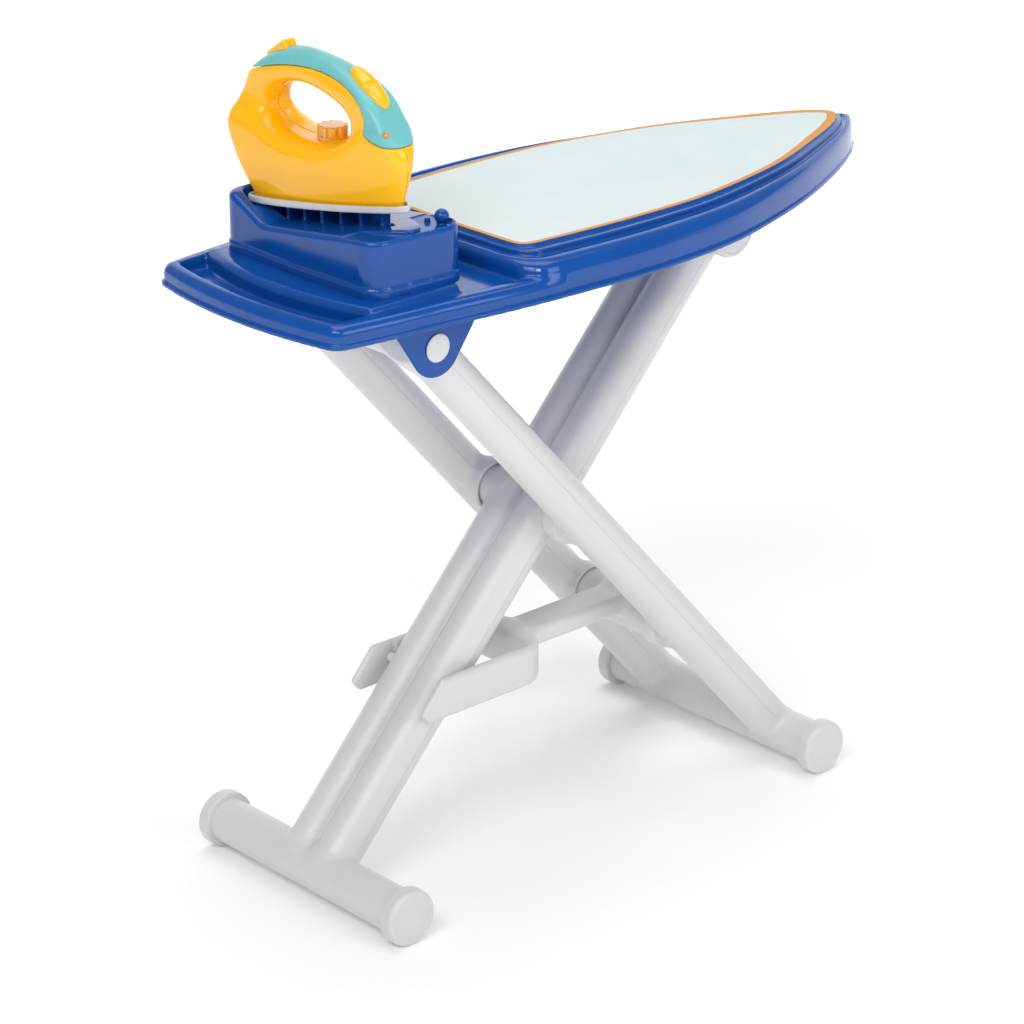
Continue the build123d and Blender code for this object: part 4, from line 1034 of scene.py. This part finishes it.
def iron_shape(x, y, z):
    """The whole iron above its sole: full base, scooped sides above a crease, and the handle."""
    above = z - np.interp(y, CREASE_Y, CREASE_Z)
    scoop = SCOOP_DEPTH * np.clip(above / 7.0, 0.0, 1.0) * (1.0 - step_up(z, 622.0, 640.0))
    plane = sole_plane(y)
    lean = SIDE_LEAN + REAR_LEAN * step_up(y, 50.0, 86.0)
    foot = SOLE(x, y) + FOOT_INSET - lean * np.maximum(z - plane - SOLE_THICKNESS, 0.0)
    sides = smooth_max(smooth_max(PLAN_VIEW(x, y), END_VIEW(x, z) + scoop, 8.0), foot, 6.0)
    block = smooth_max(sides, SIDE_VIEW(y, z), 8.0)
    block = smooth_max(block, -HOLE(y, z), 14.0)
    block = smooth_max(block, -THUMB_POCKET(x, y, z), 0.6)
    return smooth_max(block, plane + 2.9 - z, 0.4)


def iron_half(side):
    """One half shell of the iron's body."""
    def half(x, y, z):
        body = smooth_max(iron_shape(x, y, z), 0.25 - COVER_ZONE(y, z), 0.9)
        return smooth_max(body, side * (IRON_X - x) + 0.12, 0.7)
    return half


def iron_cover_shape(x, y, z):
    """The top cover, from the rear of the handle round its top to the nose."""
    return smooth_max(iron_shape(x, y, z), COVER_ZONE(y, z) + 0.25, 0.9)


BODY_LOW = np.minimum(node_box("body_left")[0], node_box("top_cover")[0]) - 3
BODY_HIGH = np.maximum(node_box("body_right")[1], node_box("top_cover")[1]) + 3
BODY_STEP = 1.3
shape_piece("iron_body_left", iron_half(-1), BODY_LOW, (IRON_X + 2, BODY_HIGH[1], BODY_HIGH[2]),
            BODY_STEP, YELLOW, "iron", "yellow_plastic", ("body_left",))
shape_piece("iron_body_right", iron_half(1), (IRON_X - 2, BODY_LOW[1], BODY_LOW[2]), BODY_HIGH,
            BODY_STEP, YELLOW, "iron", "yellow_plastic", ("body_right",))
shape_piece("iron_top_cover", iron_cover_shape, (BODY_LOW[0], BODY_LOW[1], 606.0), BODY_HIGH, BODY_STEP, TEAL,
            "iron", "teal_plastic", ("top_cover",))


def rocker_local(along, across, out):
    """Oval rocker with two low domes and a crease between them."""
    oval = np.sqrt((along / 22.0) ** 2 + (across / 8.5) ** 2 + 1e-9)
    edge = (oval - 1.0) * 8.5
    dome = 4.2 - 1.1 * (along / 22.0) ** 2 - 0.02 * across * across
    button = smooth_max(edge, out - dome, 4.0)
    crease = np.sqrt(along * along + (out - 4.9) ** 2) - 1.7
    return smooth_max(smooth_max(button, -crease, 1.5), -4.0 - out, 0.5)


def thumb_local(along, across, out):
    """Thumb button: a rounded block with a slightly sloping top."""
    block = box_shape(along, across, out, (-13.0, -6.5, -4.0), (13.0, 6.5, 7.4), 3.4)
    slope = (out - 6.6 + 0.12 * along) / 1.007
    return smooth_max(block, slope, 3.0)


ROCKER_AT = ((-34.0, 649.0), math.radians(32.0))
for node, place, shape, rider in (("rocker_button", ROCKER_AT, rocker_local, "rocker"),
                                  ("rear_button", THUMB_AT, thumb_local, "thumb")):
    corner_low, corner_high = node_box(node)
    shape_piece(node + "_piece", local_button(*place, shape), corner_low - 2, corner_high + 2,
                0.8, YELLOW, rider, "yellow_plastic", (node,))


# ---- CAD nodes that are shown as they are ------------------------------------------------------
def steel():
    """Plain screw steel."""
    material = plastic("screw_steel", srgb(170, 172, 175), 0.35, grain=0.05)
    material.node_tree.nodes["Principled BSDF"].inputs["Metallic"].default_value = 1.0
    return material


STEEL = steel()


def dress(names, material):
    """Give a material to CAD nodes that stay visible."""
    for name in names:
        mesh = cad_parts[name].data
        if not mesh.materials:
            mesh.materials.append(material)
        for slot in range(len(mesh.materials)):
            mesh.materials[slot] = material


dress(("slide_rail_near", "slide_rail_far"), BLUE)
dress(("lock_peg_near", "lock_peg_far"), WHITE)
dress(("pilot_lens", "thermostat_dial"), AMBER)
dress(("case_screws",), STEEL)


# ---- floor, light and camera -------------------------------------------------------------------
VIEW_YAW = math.radians(47.884)


def floor():
    """A wide pale floor that curves up far behind the object; it glows as painted light, faintly near the
    object and brighter further out.
    """
    reach, bend, height = 6.0, 2.0, 4.0
    profile = [(-reach, 0.0), (reach, 0.0)]
    for k in range(1, 13):
        angle = math.pi / 2 * k / 12
        profile.append((reach + bend * math.sin(angle), bend - bend * math.cos(angle)))
    profile.append((reach + bend, bend + height))
    along = Vector((math.cos(VIEW_YAW), math.sin(VIEW_YAW)))
    across = Vector((-math.sin(VIEW_YAW), math.cos(VIEW_YAW)))
    verts, faces = [], []
    for out, up in profile:
        for side in (-10.0, 10.0):
            flat = along * out + across * side
            verts.append((flat.x, flat.y, up))
    for k in range(len(profile) - 1):
        faces.append((2 * k, 2 * k + 2, 2 * k + 3, 2 * k + 1))
    mesh = bpy.data.meshes.new("studio_floor")
    mesh.from_pydata(verts, [], faces)
    paper = plastic("studio_floor", srgb(246, 246, 246), 0.7, grain=0.0, mottle=0.002, gloss=0.1)
    tree = paper.node_tree
    # painted light: the floor glows, weakly near the object and more strongly further away
    glow = tree.nodes["Principled BSDF"]
    glow.inputs["Emission Color"].default_value = (1.0, 1.0, 1.0, 1.0)
    place = tree.nodes.new("ShaderNodeTexCoord")
    distance = add_node(tree, "ShaderNodeVectorMath", {0: place.outputs["Object"]})
    distance.operation = "LENGTH"
    brighter = map_range(tree, distance.outputs["Value"], 0.55, 2.2, 0.1, 0.75)
    tree.links.new(brighter, glow.inputs["Emission Strength"])
    mesh.materials.append(paper)
    mesh.polygons.foreach_set("use_smooth", [True] * len(mesh.polygons))
    piece = bpy.data.objects.new("studio_floor", mesh)
    bpy.context.scene.collection.objects.link(piece)


floor()


def softbox(name, place, target, width, height, power):
    """A rectangular area light aimed at a point."""
    light = bpy.data.lights.new(name, "AREA")
    light.shape = "RECTANGLE"
    light.size, light.size_y = width, height
    light.energy = power
    lamp = bpy.data.objects.new(name, light)
    lamp.location = place
    lamp.rotation_euler = (Vector(target) - Vector(place)).to_track_quat("-Z", "Y").to_euler()
    bpy.context.scene.collection.objects.link(lamp)


def studio():
    """Soft light from above and from both sides, a small light for highlights, and an evenly lit room."""
    softbox("key_light", (-2.4, -1.2, 2.6), (0.0, 0.0, 0.45), 1.6, 1.2, 42.0)
    softbox("fill_light", (0.6, -3.2, 1.6), (0.0, 0.0, 0.4), 1.8, 1.4, 29.0)
    softbox("top_light", (0.3, 0.3, 3.4), (0.0, 0.0, 0.4), 2.6, 2.6, 53.0)
    softbox("corner_light", (-1.7, -2.4, 2.3), (-0.1, 0.0, 0.5), 0.4, 0.3, 12.0)
    world = bpy.data.worlds.new("studio")
    world.use_nodes = True
    sky = world.node_tree.nodes["Background"]
    sky.inputs["Color"].default_value = (1.0, 1.0, 1.0, 1.0)
    sky.inputs["Strength"].default_value = 0.3
    bpy.context.scene.world = world


studio()


def camera():
    """The camera at the angle of the reference view."""
    pitch, roll = math.radians(22.369), math.radians(-0.208)
    cos, sin = math.cos(VIEW_YAW), math.sin(VIEW_YAW)
    forward = Vector((cos * math.cos(pitch), sin * math.cos(pitch), -math.sin(pitch)))
    right = Vector((sin, -cos, 0.0))
    up = right.cross(forward)
    level_right = right * math.cos(roll) + up * math.sin(roll)
    level_up = up * math.cos(roll) - right * math.sin(roll)
    data = bpy.data.cameras.new("camera")
    data.lens = 131.4
    data.sensor_width = 36.0
    data.shift_x = -0.0082
    data.shift_y = 0.0020
    data.clip_end = 60.0
    view = bpy.data.objects.new("camera", data)
    columns = Matrix((level_right, level_up, -forward)).transposed().to_4x4()
    columns.translation = Vector((-1.8836, -2.0329, 1.3862))
    view.matrix_world = columns
    bpy.context.scene.collection.objects.link(view)
    bpy.context.scene.camera = view


camera()
bpy.context.scene.view_settings.view_transform = "Standard"
